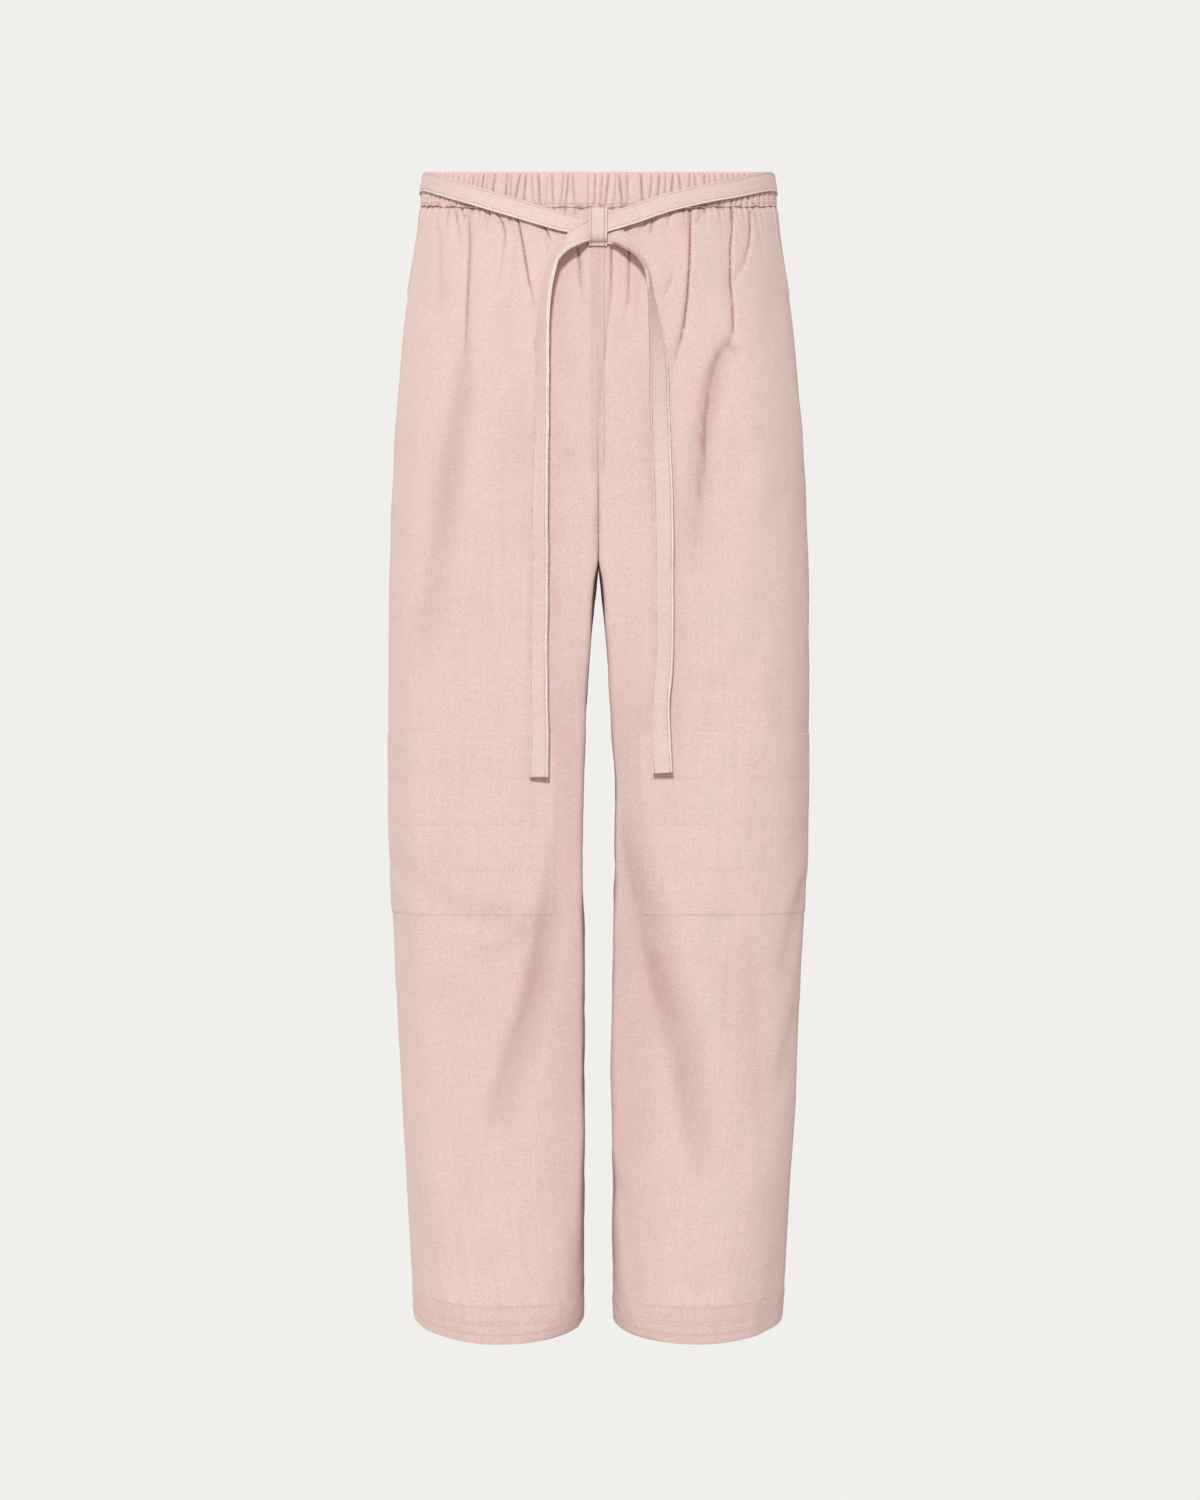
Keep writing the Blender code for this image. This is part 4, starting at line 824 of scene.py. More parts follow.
def back_relief(z, from_centre, from_side):
    """The seat's seam, and the hollow beside the pocket."""
    height = ramp(z, POCKET_BOTTOM - 4, POCKET_BOTTOM + 4) * ridge(POCKET_AT_BACK, from_side)
    above = ramp(z, CROTCH - 5, CROTCH + 5)
    return height + above * (layer(SEAT_LAYER, from_centre) + ridge(SEAT_SEAM, from_centre))


def seam_relief(face, z, from_centre, from_side, x):
    """All seams of a panel; from_... are distances from its two long edges."""
    height = ridge(SEAM, from_side) + PUCKER * np.sin(z / PUCKER_WAVE) * bell(from_side, PUCKER_REACH, 1)
    height += (1 - ramp(z, CROTCH - 12, CROTCH + 4)) * ridge(SEAM, from_centre)
    if face == "back":
        return height + back_relief(z, from_centre, from_side)
    return height + pocket_relief(z, from_side, x) + fell_relief(z, x)


print(f"side seams pucker by {PUCKER} mm")

# %% [markdown]
# Under the casing the seam bites unevenly, because the elastic bunches the cloth before it is sewn. One
# wavy function says how bunched it is round the waist, and the groove's depth, its width, the painted
# shade in it and its wobble all follow from it.

# %% The seam under the casing
BUNCH, BUNCH_DRIFT, BUNCH_BEAT = 2.7, 11.0, 6.1        # lengths of its waves, in mm for a radian
WOBBLE, WOBBLE_MEAN, WOBBLE_REACH = 1.5, 0.8, 7.0
SHIFT = 40                                             # widths follow the bunching this far round


def bunched(at):
    """0 to 1, how bunched the cloth is at a distance round the waist."""
    return 0.5 + 0.5 * np.sin(at / BUNCH + 2.2 * np.sin(at / BUNCH_DRIFT)) * np.cos(at / BUNCH_BEAT)


def seam_wobble(at, away):
    """How far the seam under the casing rises, and the cloth beside it, at a distance away from it."""
    return (WOBBLE * bunched(at * 0.8 + 9) - WOBBLE_MEAN) * bell(away, WOBBLE_REACH)


def band_seam_relief(below, at):
    """The seam under the casing: a groove that bites deeper where the cloth is bunched."""
    return -(1.0 + 2.2 * bunched(at)) * bell(below, 1.6 + 2.2 * bunched(at + SHIFT))


def pucker_shade(away, at):
    """0 to 1, painted shade in the groove where the casing's seam bunches the cloth."""
    return bunched(at) ** 1.5 * bell(away, 1.2 + 1.6 * bunched(at + SHIFT))


print(f"the groove is {-band_seam_relief(0.0, 0.0):.1f} mm deep at centre front")

# %% [markdown]
# The hem is folded up and held by three rows of stitches. Two layers are a little thicker than one, and
# the stitches pull them into small slanting puckers.

# %% Relief of the hem
HEM_ROWS = (7.0, 18.0, 32.0)          # stitching above the edge
HEM_STITCH = Ridge(-0.5, 1.3)
HEM_PUCKER = 0.22
HEM_MIDDLE, HEM_HALF, HEM_LIFT = 89.8, 78.8, 9.0    # the hem rises a little towards both seams
LIFT_REACH = 80.0                                   # and the cloth above it by less and less


def hem_relief(z, x, y):
    """Layers, puckers and stitching grooves at the hem."""
    above = z - HEM
    puckers = np.sin(x / 2.1 + above / 6 + 2 * np.sin(y / 19)) + 0.7 * np.sin(x / 3.7 - above / 9 + y / 5)
    height = HEM_PUCKER * puckers * (1 - ramp(above, 34, 46)) * ramp(above, 1, 8)
    height += sum(ridge(HEM_STITCH, above - row) for row in HEM_ROWS)
    return height + layer(HEM_LAYER, above) + layer(HEM_EDGE, above)


def hem_lift(z, x):
    """How far the hem is raised at a place."""
    aside = np.clip((np.abs(x) - HEM_MIDDLE) / HEM_HALF, -1, 1)
    return HEM_LIFT * aside ** 2 * (1 - ramp(z, HEM, HEM + LIFT_REACH))


print(f"hem {TURN_UP} mm high, raised {HEM_LIFT} mm at the seams")

# %% [markdown]
# Shade is painted into the colour where the form would hide cloth from the light: along the stitch
# grooves, in the mouth of the pocket, down the centre seam and the inseam, in broad troughs, and on the
# inner sides of the legs, which shade each other. The colour is also darker over the turned-up hem. All
# of this goes into one number a point, the attribute `crease`.

# %% Painted shade
# painted shade in the grooves of the seams and the stitches, and in the pocket mouth
SIDE_SHADE, HEM_ROW_SHADE, MOUTH_SHADE = Ridge(0.55, 1.3), Ridge(0.42, 1.2), Ridge(0.95, 2.2)
FELL_SHADE, CENTRE_SHADE = Ridge(0.30, 0.7), Ridge(0.6, 1.4)
FELL_LINES = (-5.6, -3.7, -1.6, 1.6, 3.2, 4.9)
ABOVE_CROTCH = 0.3                    # share of the centre tint above the crotch
# painted shade on the legs' inner sides, which shade each other, and how far in it reaches
INSIDE_SHADE, INSIDE_REACH = 0.20, 70.0
# the colour is this much darker over the turned-up hem
TURNED_TINT = 0.10
# painted shade in fold troughs, and the depths where it starts and where it is full
TROUGH_SHADE, TROUGH_STARTS, TROUGH_FULL = 0.46, 0.08, 7.0      # about the depth at which it is full


def painted_seam_shade(face, z, across, from_side, x):
    """0 to 1, painted shade along the stitch grooves, in the pocket mouth, on the felled seam and down the
    centre seam and inseam.
    """
    tints = [ridge(SIDE_SHADE, from_side)] + [ridge(HEM_ROW_SHADE, z - HEM - row) for row in HEM_ROWS]
    if face == "front":
        is_open = ramp(z, POCKET_BOTTOM - 2, POCKET_BOTTOM + 2)
        tints.append(is_open * ridge(MOUTH_SHADE, from_side - mouth_place(z, x)))
        on_fell = ramp(z, FELL_END - FELL_FADE, FELL_END)
        tints += [on_fell * ridge(FELL_SHADE, x - line) for line in FELL_LINES]
    above = ramp(z, CROTCH - 5, CROTCH + 5)
    tints.append((1.0 - (1 - ABOVE_CROTCH) * above) * ridge(CENTRE_SHADE, across))
    return np.maximum.reduce(np.broadcast_arrays(*tints))


def painted_trough_shade(folds):
    """Painted shade where folds sink the cloth."""
    return TROUGH_SHADE * np.clip(-folds / TROUGH_FULL - TROUGH_STARTS, 0, 1)


def shade_tint(level, x):
    """Painted shade on the legs' inner sides, and the darker band over the turned-up hem."""
    beside = 1 - ramp(np.abs(x), 10, INSIDE_REACH)
    inside = INSIDE_SHADE * beside * (1 - ramp(level, CROTCH - 160, CROTCH))
    turned = TURNED_TINT * (1 - ramp(level, HEM + TURN_UP - 2, HEM + TURN_UP + 2))
    return np.maximum(inside, turned)


print(f"{len(HEM_ROWS) + len(FELL_LINES) + 3} tinted lines on a front")

# %% [markdown]
# Hanging cotton is never flat between its folds. Three sizes of noise give it long soft flutes, shallow
# dents and a fine crumple. Near the seams the cloth is held, so the noise is weaker there, and the
# outline stays smooth.

# %% Slow unevenness
Bumps = namedtuple("Bumps", "size seed height")      # size is (x, y, z) of one bump
SLOW_WAVES = (Bumps((40, 60, 190), 1, 2.4), Bumps((25, 30, 42), 2, 1.35), Bumps((9, 12, 13), 3, 0.30))
CALM = 13.0                           # folds die out this close to a side seam or an inseam
STILL, STILL_FROM, STILL_SHARE = 62.0, 8.0, 0.15     # slow waves near the side seam
CENTRE_STILL, CENTRE_SHARE = 30.0, 0.3               # and near the centre
WAVES_START = (5, 60)                                # below the casing


def slow_waves(points, below, across, from_side):
    """The unevenness at every point of a panel."""
    waves = sum(noise_at(points, bumps.size, bumps.seed) * bumps.height for bumps in SLOW_WAVES)
    centre = CENTRE_SHARE + (1 - CENTRE_SHARE) * ramp(across, 0, CENTRE_STILL)
    held = STILL_SHARE + (1 - STILL_SHARE) * ramp(from_side, STILL_FROM, STILL) * centre
    return waves * held * ramp(below, *WAVES_START)


def calm_at(level, across, from_side):
    """0 on a side seam and on an inseam, 1 where folds have their full depth."""
    below_crotch = 1 - ramp(level, CROTCH, CROTCH + 30)
    return ramp(from_side, 0, CALM) * (1 - below_crotch * (1 - ramp(across, 0, CALM)))


print("bumps of", [bumps.size for bumps in SLOW_WAVES], "mm")

# %% [markdown]
# ## A skin that other pieces can lie on
#
# Patches and stitches lie on the finished panel, folds included. So a panel is kept as a skin: the grid
# of its points with the direction that each one faces. The grid comes first, without any relief. Where
# the two legs meet, the relief doesn't push sideways, so that they don't pass through each other.

# %% The grid of a panel
Skin = namedtuple("Skin", "side face outer inner normals across flip")
PARTING = 25.0             # from this far below the crotch


def panel_grid(side, face):
    """Points, outward directions, distances across, and distances round the waist, of a panel."""
    shares = np.linspace(0, 1, COLUMNS[face])
    centre = CENTRE_FRONT if face == "front" else CENTRE_BACK
    rows = []
    for z in LEVELS_DOWN:
        cut = section(z)
        places = centre + shares * (cut.seam - centre)
        flat, out = on_section(cut, places)
        apart = 1 - ramp(z, CROTCH - PARTING, CROTCH) * (1 - ramp(flat[:, 0], 0.5, 5))
        steps = np.interp(places, cut.places, cut.lengths)
        points = np.stack([side * flat[:, 0], flat[:, 1], z + slope_at(z) * flat[:, 1]], axis=-1)
        outward = np.stack([side * out[:, 0] * apart, out[:, 1], np.zeros(len(out))], axis=-1)
        rows.append((points, outward, np.abs(steps - steps[0])))
    start = 0.0 if face == "front" else WAIST_HALF
    at = side * (start + shares * (WAIST_SEAM - start))
    return *(np.array(part) for part in zip(*rows)), at[None, :]


print(f"the legs part {-CROTCH:.0f} mm below the waist")

# %% [markdown]
# Then all reliefs are added up, and the painted shade is read from them before the slow waves come in,
# because a soft wave gets no painted shade.

# %% Skins
def make_skin(side, face):
    """A panel's skin, its grain and its painted shade."""
    base, out, across, at = panel_grid(side, face)
    level = LEVELS_DOWN[:, None] + np.zeros(COLUMNS[face])
    below = BAND_BOTTOM - level
    from_side = across[:, -1:] - across
    x, y, z = np.moveaxis(base, -1, 0)
    folds = fold_height(FOLDS[face], x, z) * calm_at(level, across, from_side)
    relief = gather_tails(at, below) + folds + seam_relief(face, level, across, from_side, x)
    relief += hem_relief(level, x, y) + band_seam_relief(below, at)
    # painted shade in creases, seams, the casing's seam, on the inner legs and in troughs, and the darker
    # hem
    tints = (crease_shade(relief), painted_seam_shade(face, level, across, from_side, x), pucker_shade(below, at),
             shade_tint(level, x), painted_trough_shade(folds))
    relief += slow_waves(base, below, across, from_side)
    outer = base + out * relief[..., None]
    outer[..., 2] += seam_wobble(at, below) + hem_lift(level, x)
    grain = np.stack([-from_side, -level, np.full(level.shape, PANEL_GRAIN * side)], axis=-1)
    inside = (outer - out * CLOTH)[::2, ::2]
    flip = (side > 0) != (face == "front")
    skin = Skin(side, face, outer, inside, surface_normals(outer, flip), across, flip)
    return skin, grain, np.maximum.reduce(tints)


SIDES = {1: "left", -1: "right"}
PANEL_GRAIN = 40.0         # the third number of the grain tells pieces apart
skins, panels = {}, {}
for side, side_name in SIDES.items():
    for face in ("front", "back"):
        skin, grain, crease = make_skin(side, face)
        skins[side, face] = skin
        panels[side, face] = shell(f"{side_name}_{face}", skin.outer, skin.inner, grain, skin.flip, crease)
        print(side_name, face, f"{skin.across[:, -1].max():.0f} mm at its widest")

# %% [markdown]
# Anything that lies on a skin asks it for a point and a direction, and moves out a little. Places on it
# are a share of its width and a level. Some rows keep a fixed distance from a seam, and for those the
# distance is turned into a share first.

# %% Places on a skin
def on_skin(skin, share, level, lift=0.0):
    """Points and directions on a skin, at shares of its width and levels of the garment."""
    share, level = np.broadcast_arrays(np.asarray(share, float), np.asarray(level, float))
    row = np.clip(row_at(level), 0, len(LEVELS_DOWN) - 1.001)
    columns = skin.outer.shape[1]
    column = np.clip(share * (columns - 1), 0, columns - 1.001)
    r, c = row.astype(int), column.astype(int)
    down, right = (row - r)[..., None], (column - c)[..., None]

    def blend(grid):
        """A grid's value at each place, mixed from the four points around it."""
        upper = grid[r, c] * (1 - right) + grid[r, c + 1] * right
        lower = grid[r + 1, c] * (1 - right) + grid[r + 1, c + 1] * right
        return upper * (1 - down) + lower * down

    out = blend(skin.normals)
    out /= np.linalg.norm(out, axis=-1, keepdims=True)
    return blend(skin.outer) + out * np.asarray(lift, float)[..., None], out


def rows_near(skin, levels):
    """The row of distances across that lies nearest to each level."""
    return skin.across[row_at(levels).round().astype(int)]


def share_at(skin, level, from_centre=None, from_side=None):
    """Turns a distance from a panel's centre edge or its side seam into a share of its width."""
    shares = np.linspace(0, 1, skin.across.shape[1])
    rows = rows_near(skin, level)
    at = rows[:, -1] - from_side if from_centre is None else np.full(len(rows), from_centre)
    return np.array([np.interp(place, row, shares) for place, row in zip(at, rows)])


print("at the knee, 30 mm from the side seam is share",
      share_at(skins[1, "front"], [-580.0], from_side=30.0))

# %% [markdown]
# ## The gathered casing
#
# The casing is one strip of cotton folded over a wide elastic and joined into a ring. It is modelled as
# a ring with a profile: up the outside, over the rounded fold, down the inside. The creases bite deepest
# halfway up, where the elastic pulls hardest, and the fold dips a little in each of them.

# %% Profile of the casing
BAND_COLUMNS, BAND_OUTSIDE = 1300, 17          # points round the band, and rows on its outside
Profile = namedtuple("Profile", "up out bite")      # share of the height, mm outwards, share of the gathers
BAND_PROFILE = tuple(
    Profile(up, 0.0, 0.85 + 0.3 * math.sin(math.pi * up)) for up in np.linspace(0, 0.94, BAND_OUTSIDE))
BAND_PROFILE += (Profile(0.98, -0.3, 0.9), Profile(1.0, -1.0, 0.75), Profile(0.99, -1.9, 0.4))
BAND_PROFILE += tuple(Profile(up, -2.5, -0.25) for up in np.linspace(0.94, 0.0, 7))
BAND_SEAM, BAND_SEAM_UP = Ridge(-0.7, 1.1), 2.2     # a groove above the lower edge
TREMBLE = 0.22
BAND_DIP = 0.30            # share of a crease's depth by which the fold dips
# share of painted shade in the casing's creases
BAND_CREASE_SHADE = 0.75
BAND_GRAIN, BAND_STRETCH = 90.0, 1.3                # the weave is as full as the gathered cloth
print(len(BAND_PROFILE), "rows in the casing's profile")

# %% [markdown]
# The band is swept round the waist. Each row of the profile follows the section at its own level, and
# the last row joins the first, so the casing is a closed ring.

# %% Waistband
def round_band(count, closed):
    """Distances round the waist for a number of points, the side of each, and its place."""
    around = np.linspace(-WAIST_HALF, WAIST_HALF, count, endpoint=not closed)
    place = np.interp(np.abs(around), waist_cut.lengths, waist_cut.places)
    return around, np.where(around >= 0, 1.0, -1.0), place


def band_row(profile, around, side, places):
    """Points and painted shade of one row of the casing."""
    z = BAND_BOTTOM + (BAND_TOP - BAND_BOTTOM) * profile.up
    flat, out = on_section(section(z), places)
    bulge = gathers(around, profile.up) * profile.bite
    height = profile.out + bulge
    crease = np.zeros(len(around))
    if profile.out == 0:
        height += ridge(BAND_SEAM, z - BAND_BOTTOM - BAND_SEAM_UP)
        height += TREMBLE * np.sin(around / 1.9 + z / 3) * (1 - abs(profile.up - 0.5))
        # painted shade in the casing's creases and in the bunched seam below it
        crease = np.maximum(BAND_CREASE_SHADE * crease_shade(bulge[None, :])[0], pucker_shade(z - BAND_BOTTOM, around))
    flat = flat + out * height[:, None]
    dip = BAND_DIP * (bulge - BULGE) * ramp(profile.up, 0.85, 1.0) + seam_wobble(around, z - BAND_BOTTOM)
    points = np.stack([side * flat[:, 0], flat[:, 1], z + slope_at(z) * flat[:, 1] + dip], axis=-1)
    grain = (around * BAND_STRETCH, np.full(len(around), -z), np.full(len(around), BAND_GRAIN))
    return points, np.stack(grain, axis=-1), crease


def make_waistband():
    """The whole casing as one ring."""
    around, side, places = round_band(BAND_COLUMNS, closed=True)
    rows = [band_row(profile, around, side, places) for profile in BAND_PROFILE]
    points, grain, crease = (np.concatenate(part) for part in zip(*rows))
    faces = tube_faces(len(rows), BAND_COLUMNS, joined=True, inside_out=False)
    return link("elastic_band", points, faces, grain, crease=crease)


band = make_waistband()
print("waistband", len(band.data.vertices), "points")

# %% [markdown]
# ## Knee patches
#
# A second layer of the same cotton covers the front of each knee, from near the inseam to the side
# seam. Rows of stitching tie it to the panel, and between two rows the layers part a little. The patch
# takes its points from the panel's skin, so it shares every fold, and stands out by the thickness of the
# cloth and the softness between the rows.

# %% Sizes of a patch
PATCH_TOP, PATCH_ROW, PATCH_ROWS = -500.0, 40.5, 4
PATCH_BOTTOM = PATCH_TOP - PATCH_ROWS * PATCH_ROW
PATCH_FROM_MIDDLE = 36.5        # x of its inner edge on the front of the knee
knee = section(-580.0)
PATCH_INNER = float(knee.places[np.argmax(knee.points[:, 0] > PATCH_FROM_MIDDLE)] / knee.seam)
PATCH_OUTER = 0.996             # share of the panel's width at its outer edge
PATCH_COLUMNS, PATCH_POINTS_DOWN = 121, 97
PATCH_LIFT, PATCH_PUFF, PATCH_RIM = 0.70, 0.13, 0.30
PATCH_PUCKER = 0.14
PATCH_UNDER = 0.1               # gap between the patch's inside and the panel
print(f"patch {PATCH_ROWS} rows of {PATCH_ROW} mm, from share {PATCH_INNER:.3f} of the panel's width")

# %% [markdown]
# The patch's weave has its own place in the pattern, and runs by true lengths across, or its threads
# would spread and bunch with the panel's columns. Its quilted rows get painted shade along their grooves,
# unevenly, as stitches pull.

# %% Patches
ROW_SHADE, ROW_SHADE_SWING, ROW_SHADE_WIDTH = 0.10, 0.16, 1.5
ROW_SHADE_BUMPS = Bumps((24, 24, 60), 6, ROW_SHADE_SWING)
PATCH_GRAIN = (-7.0, 3.0, 140.0)


def patch_height(share, level):
    """How far the patch stands off the panel."""
    down = (PATCH_TOP - level) / PATCH_ROW
    in_row = down - np.floor(np.clip(down, 0, PATCH_ROWS - 1e-6))
    puff = np.sin(math.pi * np.clip(in_row, 0, 1)) ** 0.7
    inner = ramp(share, PATCH_INNER, PATCH_INNER + 0.05)
    pucker = np.sin(share * 150 + 3 * np.sin(level / 9)) * np.exp(-np.minimum(in_row, 1 - in_row) * 7)
    edge = np.minimum(ramp(level, PATCH_BOTTOM, PATCH_BOTTOM + 2.6),
                      ramp(-level, -PATCH_TOP, -PATCH_TOP + 1.6))
    edge = np.minimum(edge, ramp(share, PATCH_INNER, PATCH_INNER + 0.006))
    full = PATCH_LIFT - PATCH_RIM + inner * PATCH_PUFF * puff + PATCH_PUCKER * pucker
    return PATCH_RIM + edge * full


def make_patch(side):
    """A patch on the skin of one front."""
    skin = skins[side, "front"]
    shares = np.linspace(PATCH_INNER, PATCH_OUTER, PATCH_COLUMNS)
    levels = np.linspace(PATCH_TOP, PATCH_BOTTOM, PATCH_POINTS_DOWN)
    share, level = np.meshgrid(shares, levels)
    height = patch_height(share, level)
    outer, _ = on_skin(skin, share, level, height)
    inner, _ = on_skin(skin, share[::2, ::2], level[::2, ::2], PATCH_UNDER)
    rows = rows_near(skin, levels)
    every = np.linspace(0, 1, rows.shape[1])
    along = np.array([np.interp(shares, every, row) - row[-1] for row in rows])
    grain = np.stack([along, -level, np.full(level.shape, float(side))], axis=-1) + PATCH_GRAIN
    rows_down = (PATCH_TOP - level) / PATCH_ROW
    from_row = np.abs(rows_down - np.round(rows_down)) * PATCH_ROW
    # painted shade along the quilted rows, stronger in some places than others
    uneven = ROW_SHADE + ROW_SHADE_BUMPS.height * noise_at(outer, ROW_SHADE_BUMPS.size, ROW_SHADE_BUMPS.seed)
    folds = fold_height(FRONT_FOLDS, outer[..., 0], outer[..., 2])
    # painted shade at the patch's creases, along its rows and in fold troughs
    tints = (crease_shade(height), uneven * bell(from_row, ROW_SHADE_WIDTH), painted_trough_shade(folds))
    return shell(f"{SIDES[side]}_knee_patch", outer, inner, grain, skin.flip, np.maximum.reduce(tints))


patches = {side: make_patch(side) for side in SIDES}
print("patches:", ", ".join(patch.name for patch in patches.values()))

# %% [markdown]
# ## Ties
#
# Each tie is a flat tube of cotton, turned, pressed and stitched along both edges. It leaves its side
# seam, drops across the front to the loop, and hangs down on the other side. Its route is a list of given
# points. On the waist each has a height and a distance from the cloth. On the strand each has a
# turn, which is how far the face looks aside, and `up`, which is how far it looks up, in degrees.

# %% Routes of the ties
TIE_WIDTH = 17.5
TIE_START, TIE_AT_LOOP, WAIST_STATIONS = 1.05, 0.03, 18       # places of its ends on the waist
Waist = namedtuple("Waist", "x z stand_off")
Strand = namedtuple("Strand", "x y z turn up")
RIGHT_TIE_WAIST = (
    Waist(0.0, -58.0, 2.9), Waist(8.4, -55.9, 2.9), Waist(26.0, -52.0, 3.2), Waist(69.4, -38.0, 4.0),
    Waist(105.6, -24.4, 3.8), Waist(143.3, -7.8, 3.0), Waist(160.5, 1.9, 2.5), Waist(164.0, 3.4, 2.3),
)
LEFT_TIE_WAIST = (
    Waist(0.0, -54.5, 5.7), Waist(9.3, -51.4, 5.7), Waist(26.0, -46.0, 5.4), Waist(54.3, -34.9, 4.4),
    Waist(90.0, -23.6, 4.0), Waist(126.7, -12.7, 3.2), Waist(163.0, 2.6, 2.4), Waist(165.0, 3.4, 2.3),
)
RIGHT_STRAND = (                # of the left tie, which hangs on the wearer's right
    Strand(10.0, -116.8, -60.0, 0, 2), Strand(19.7, -120.6, -66.0, 18, 20),
    Strand(31.2, -122.6, -76.5, 56, 38), Strand(39.0, -122.0, -85.7, 62, 25),
    Strand(42.3, -122.0, -95.8, 62, 12), Strand(47.0, -122.2, -122.0, 60, 3),
    Strand(48.6, -122.4, -157.0, 56, 0), Strand(50.1, -122.0, -209.6, 48, 0),
    Strand(51.6, -122.4, -297.0, 33, 0), Strand(52.4, -119.2, -380.0, 29, 0),
    Strand(52.5, -117.6, -460.0, 25, 0), Strand(52.5, -120.5, -539.6, 16, 0),
)
LEFT_STRAND = (                 # of the right tie, which hangs on the wearer's left
    Strand(9.0, -112.9, -61.5, 0, 2), Strand(15.0, -113.8, -64.3, 8, 10),
    Strand(21.0, -117.5, -68.2, 28, 28), Strand(27.6, -120.4, -74.4, 50, 38),
    Strand(36.3, -123.2, -83.1, 70, 36), Strand(41.6, -125.0, -92.7, 80, 20),
    Strand(46.0, -126.0, -115.0, 76, 5), Strand(51.2, -124.4, -157.0, 42, 0),
    Strand(53.6, -122.4, -209.6, 16, 0), Strand(56.5, -121.4, -297.0, -12, 0),
    Strand(57.7, -119.2, -390.0, -20, 0), Strand(57.3, -118.4, -428.5, -21, 0),
    Strand(54.0, -118.4, -478.0, -18, 0), Strand(56.7, -120.5, -536.0, -8, 0),
)
print(len(RIGHT_STRAND), "and", len(LEFT_STRAND), "points on the strands")

# %% [markdown]
# On the waist the tie's own lean is worked out from the section above it and the section below it, so
# the flat strap lies along the slope of the cloth.

# %% Stations along a tie
def tie_on_waist(side, waist, place):
    """A place on a tie's way round the waist: its middle and the direction that its face looks in."""
    xs = [row.x for row in waist]
    point, _ = on_section(waist_cut, place)
    x = min(point[0], xs[-1]) if place < 1 else xs[-1]
    height = smooth_through(xs, [row.z for row in waist], x)
    stand_off = np.interp(x, xs, [row.stand_off for row in waist])
    level = height - slope_at(height) * point[1]
    _, normal = on_section(section(level), place)
    upper, _ = on_section(section(level + TIE_WIDTH / 2), place)
    lower, _ = on_section(section(level - TIE_WIDTH / 2), place)
    lean = (lower - upper) @ normal / TIE_WIDTH - slope_at(level) * normal[1]
    middle = (upper + lower) / 2 + stand_off * normal
    return (side * middle[0], middle[1], height, side * normal[0], normal[1], lean)


def tie_route(side, waist, strand):
    """Stations of a whole tie: where its middle lies, and where its face looks."""
    places = np.linspace(TIE_START, TIE_AT_LOOP, WAIST_STATIONS)
    stations = [tie_on_waist(side, waist, place) for place in places]
    for row in strand:
        turn, up = math.radians(row.turn), math.radians(row.up)
        facing = (-side * math.sin(turn) * math.cos(up), -math.cos(turn) * math.cos(up), math.sin(up))
        stations.append((-side * row.x, row.y, row.z, *facing))
    return np.array(stations)


left_stations = tie_route(1, LEFT_TIE_WAIST, RIGHT_STRAND)
right_stations = tie_route(-1, RIGHT_TIE_WAIST, LEFT_STRAND)
print(len(left_stations), "stations on the left tie,", len(right_stations), "on the right one")

# %% [markdown]
# A pressed strap isn't a plain rectangle. Each edge holds the slit where its two layers meet, then rolls
# over, and a groove runs beside it where the stitches pull. The table lists half of the upper face, and
# mirroring it twice gives the whole outline.

# %% Cross-section of a tie
Rib = namedtuple("Rib", "across out")
TIE_FACE = (                    # from the slit in the edge to the middle
    Rib(0.900, 0.00), Rib(1.000, 0.30), Rib(1.000, 0.58), Rib(0.970, 0.84), Rib(0.90, 0.92),
    Rib(0.855, 0.86), Rib(0.82, 0.74), Rib(0.785, 0.56), Rib(0.74, 0.72), Rib(0.60, 0.78),
    Rib(0.35, 0.80), Rib(0.0, 0.82),
)


def tie_outline():
    """The whole outline, as shares of the half width and millimetres out."""
    half = [tuple(rib) for rib in TIE_FACE]
    face = half + [(-across, out) for across, out in half[-2::-1]]
    return np.array(face + [(across, -out) for across, out in face[-2:0:-1]])


OUTLINE = tie_outline()
print(len(OUTLINE), "points round a tie")

# %% [markdown]
# The outline is carried along a route. A little noise crumples the strap. Light and shade are painted on
# the pressed edges: those that look to the wearer's left or down get a painted highlight, a paler copy
# of the cotton, and those that look the other way painted shade. The stitch grooves get painted shade too.

# %% Carrying an outline along a route
TIE_STITCH = 1.9                # from the edge
# painted shade in the tie's stitch grooves
TIE_GROOVE_SHADE, TIE_GROOVE_WIDTH = 0.85, 0.035       # the width is a share of the half width
# the painted highlight covers the rim from this share outwards
EDGE_HIGHLIGHT_FROM = 0.895       # share of the half width where the pressed edge begins
# edges that look this way get the painted highlight, those that look away get painted shade
PAINTED_LIGHT_FROM = (1.0, 0.0, -1.0)   # the direction of the paler edges
# how far an edge must look towards or away from that direction, and the strength and start of the painted
# edge shade
LIGHT_FACING_MARGIN, EDGE_SHADE, EDGE_SHADE_FROM = 0.2, 0.6, 0.98
CRUMPLE = (Bumps((14, 5.5, 1), 4, 1.0), Bumps((30, 17, 1), 5, 1.0))


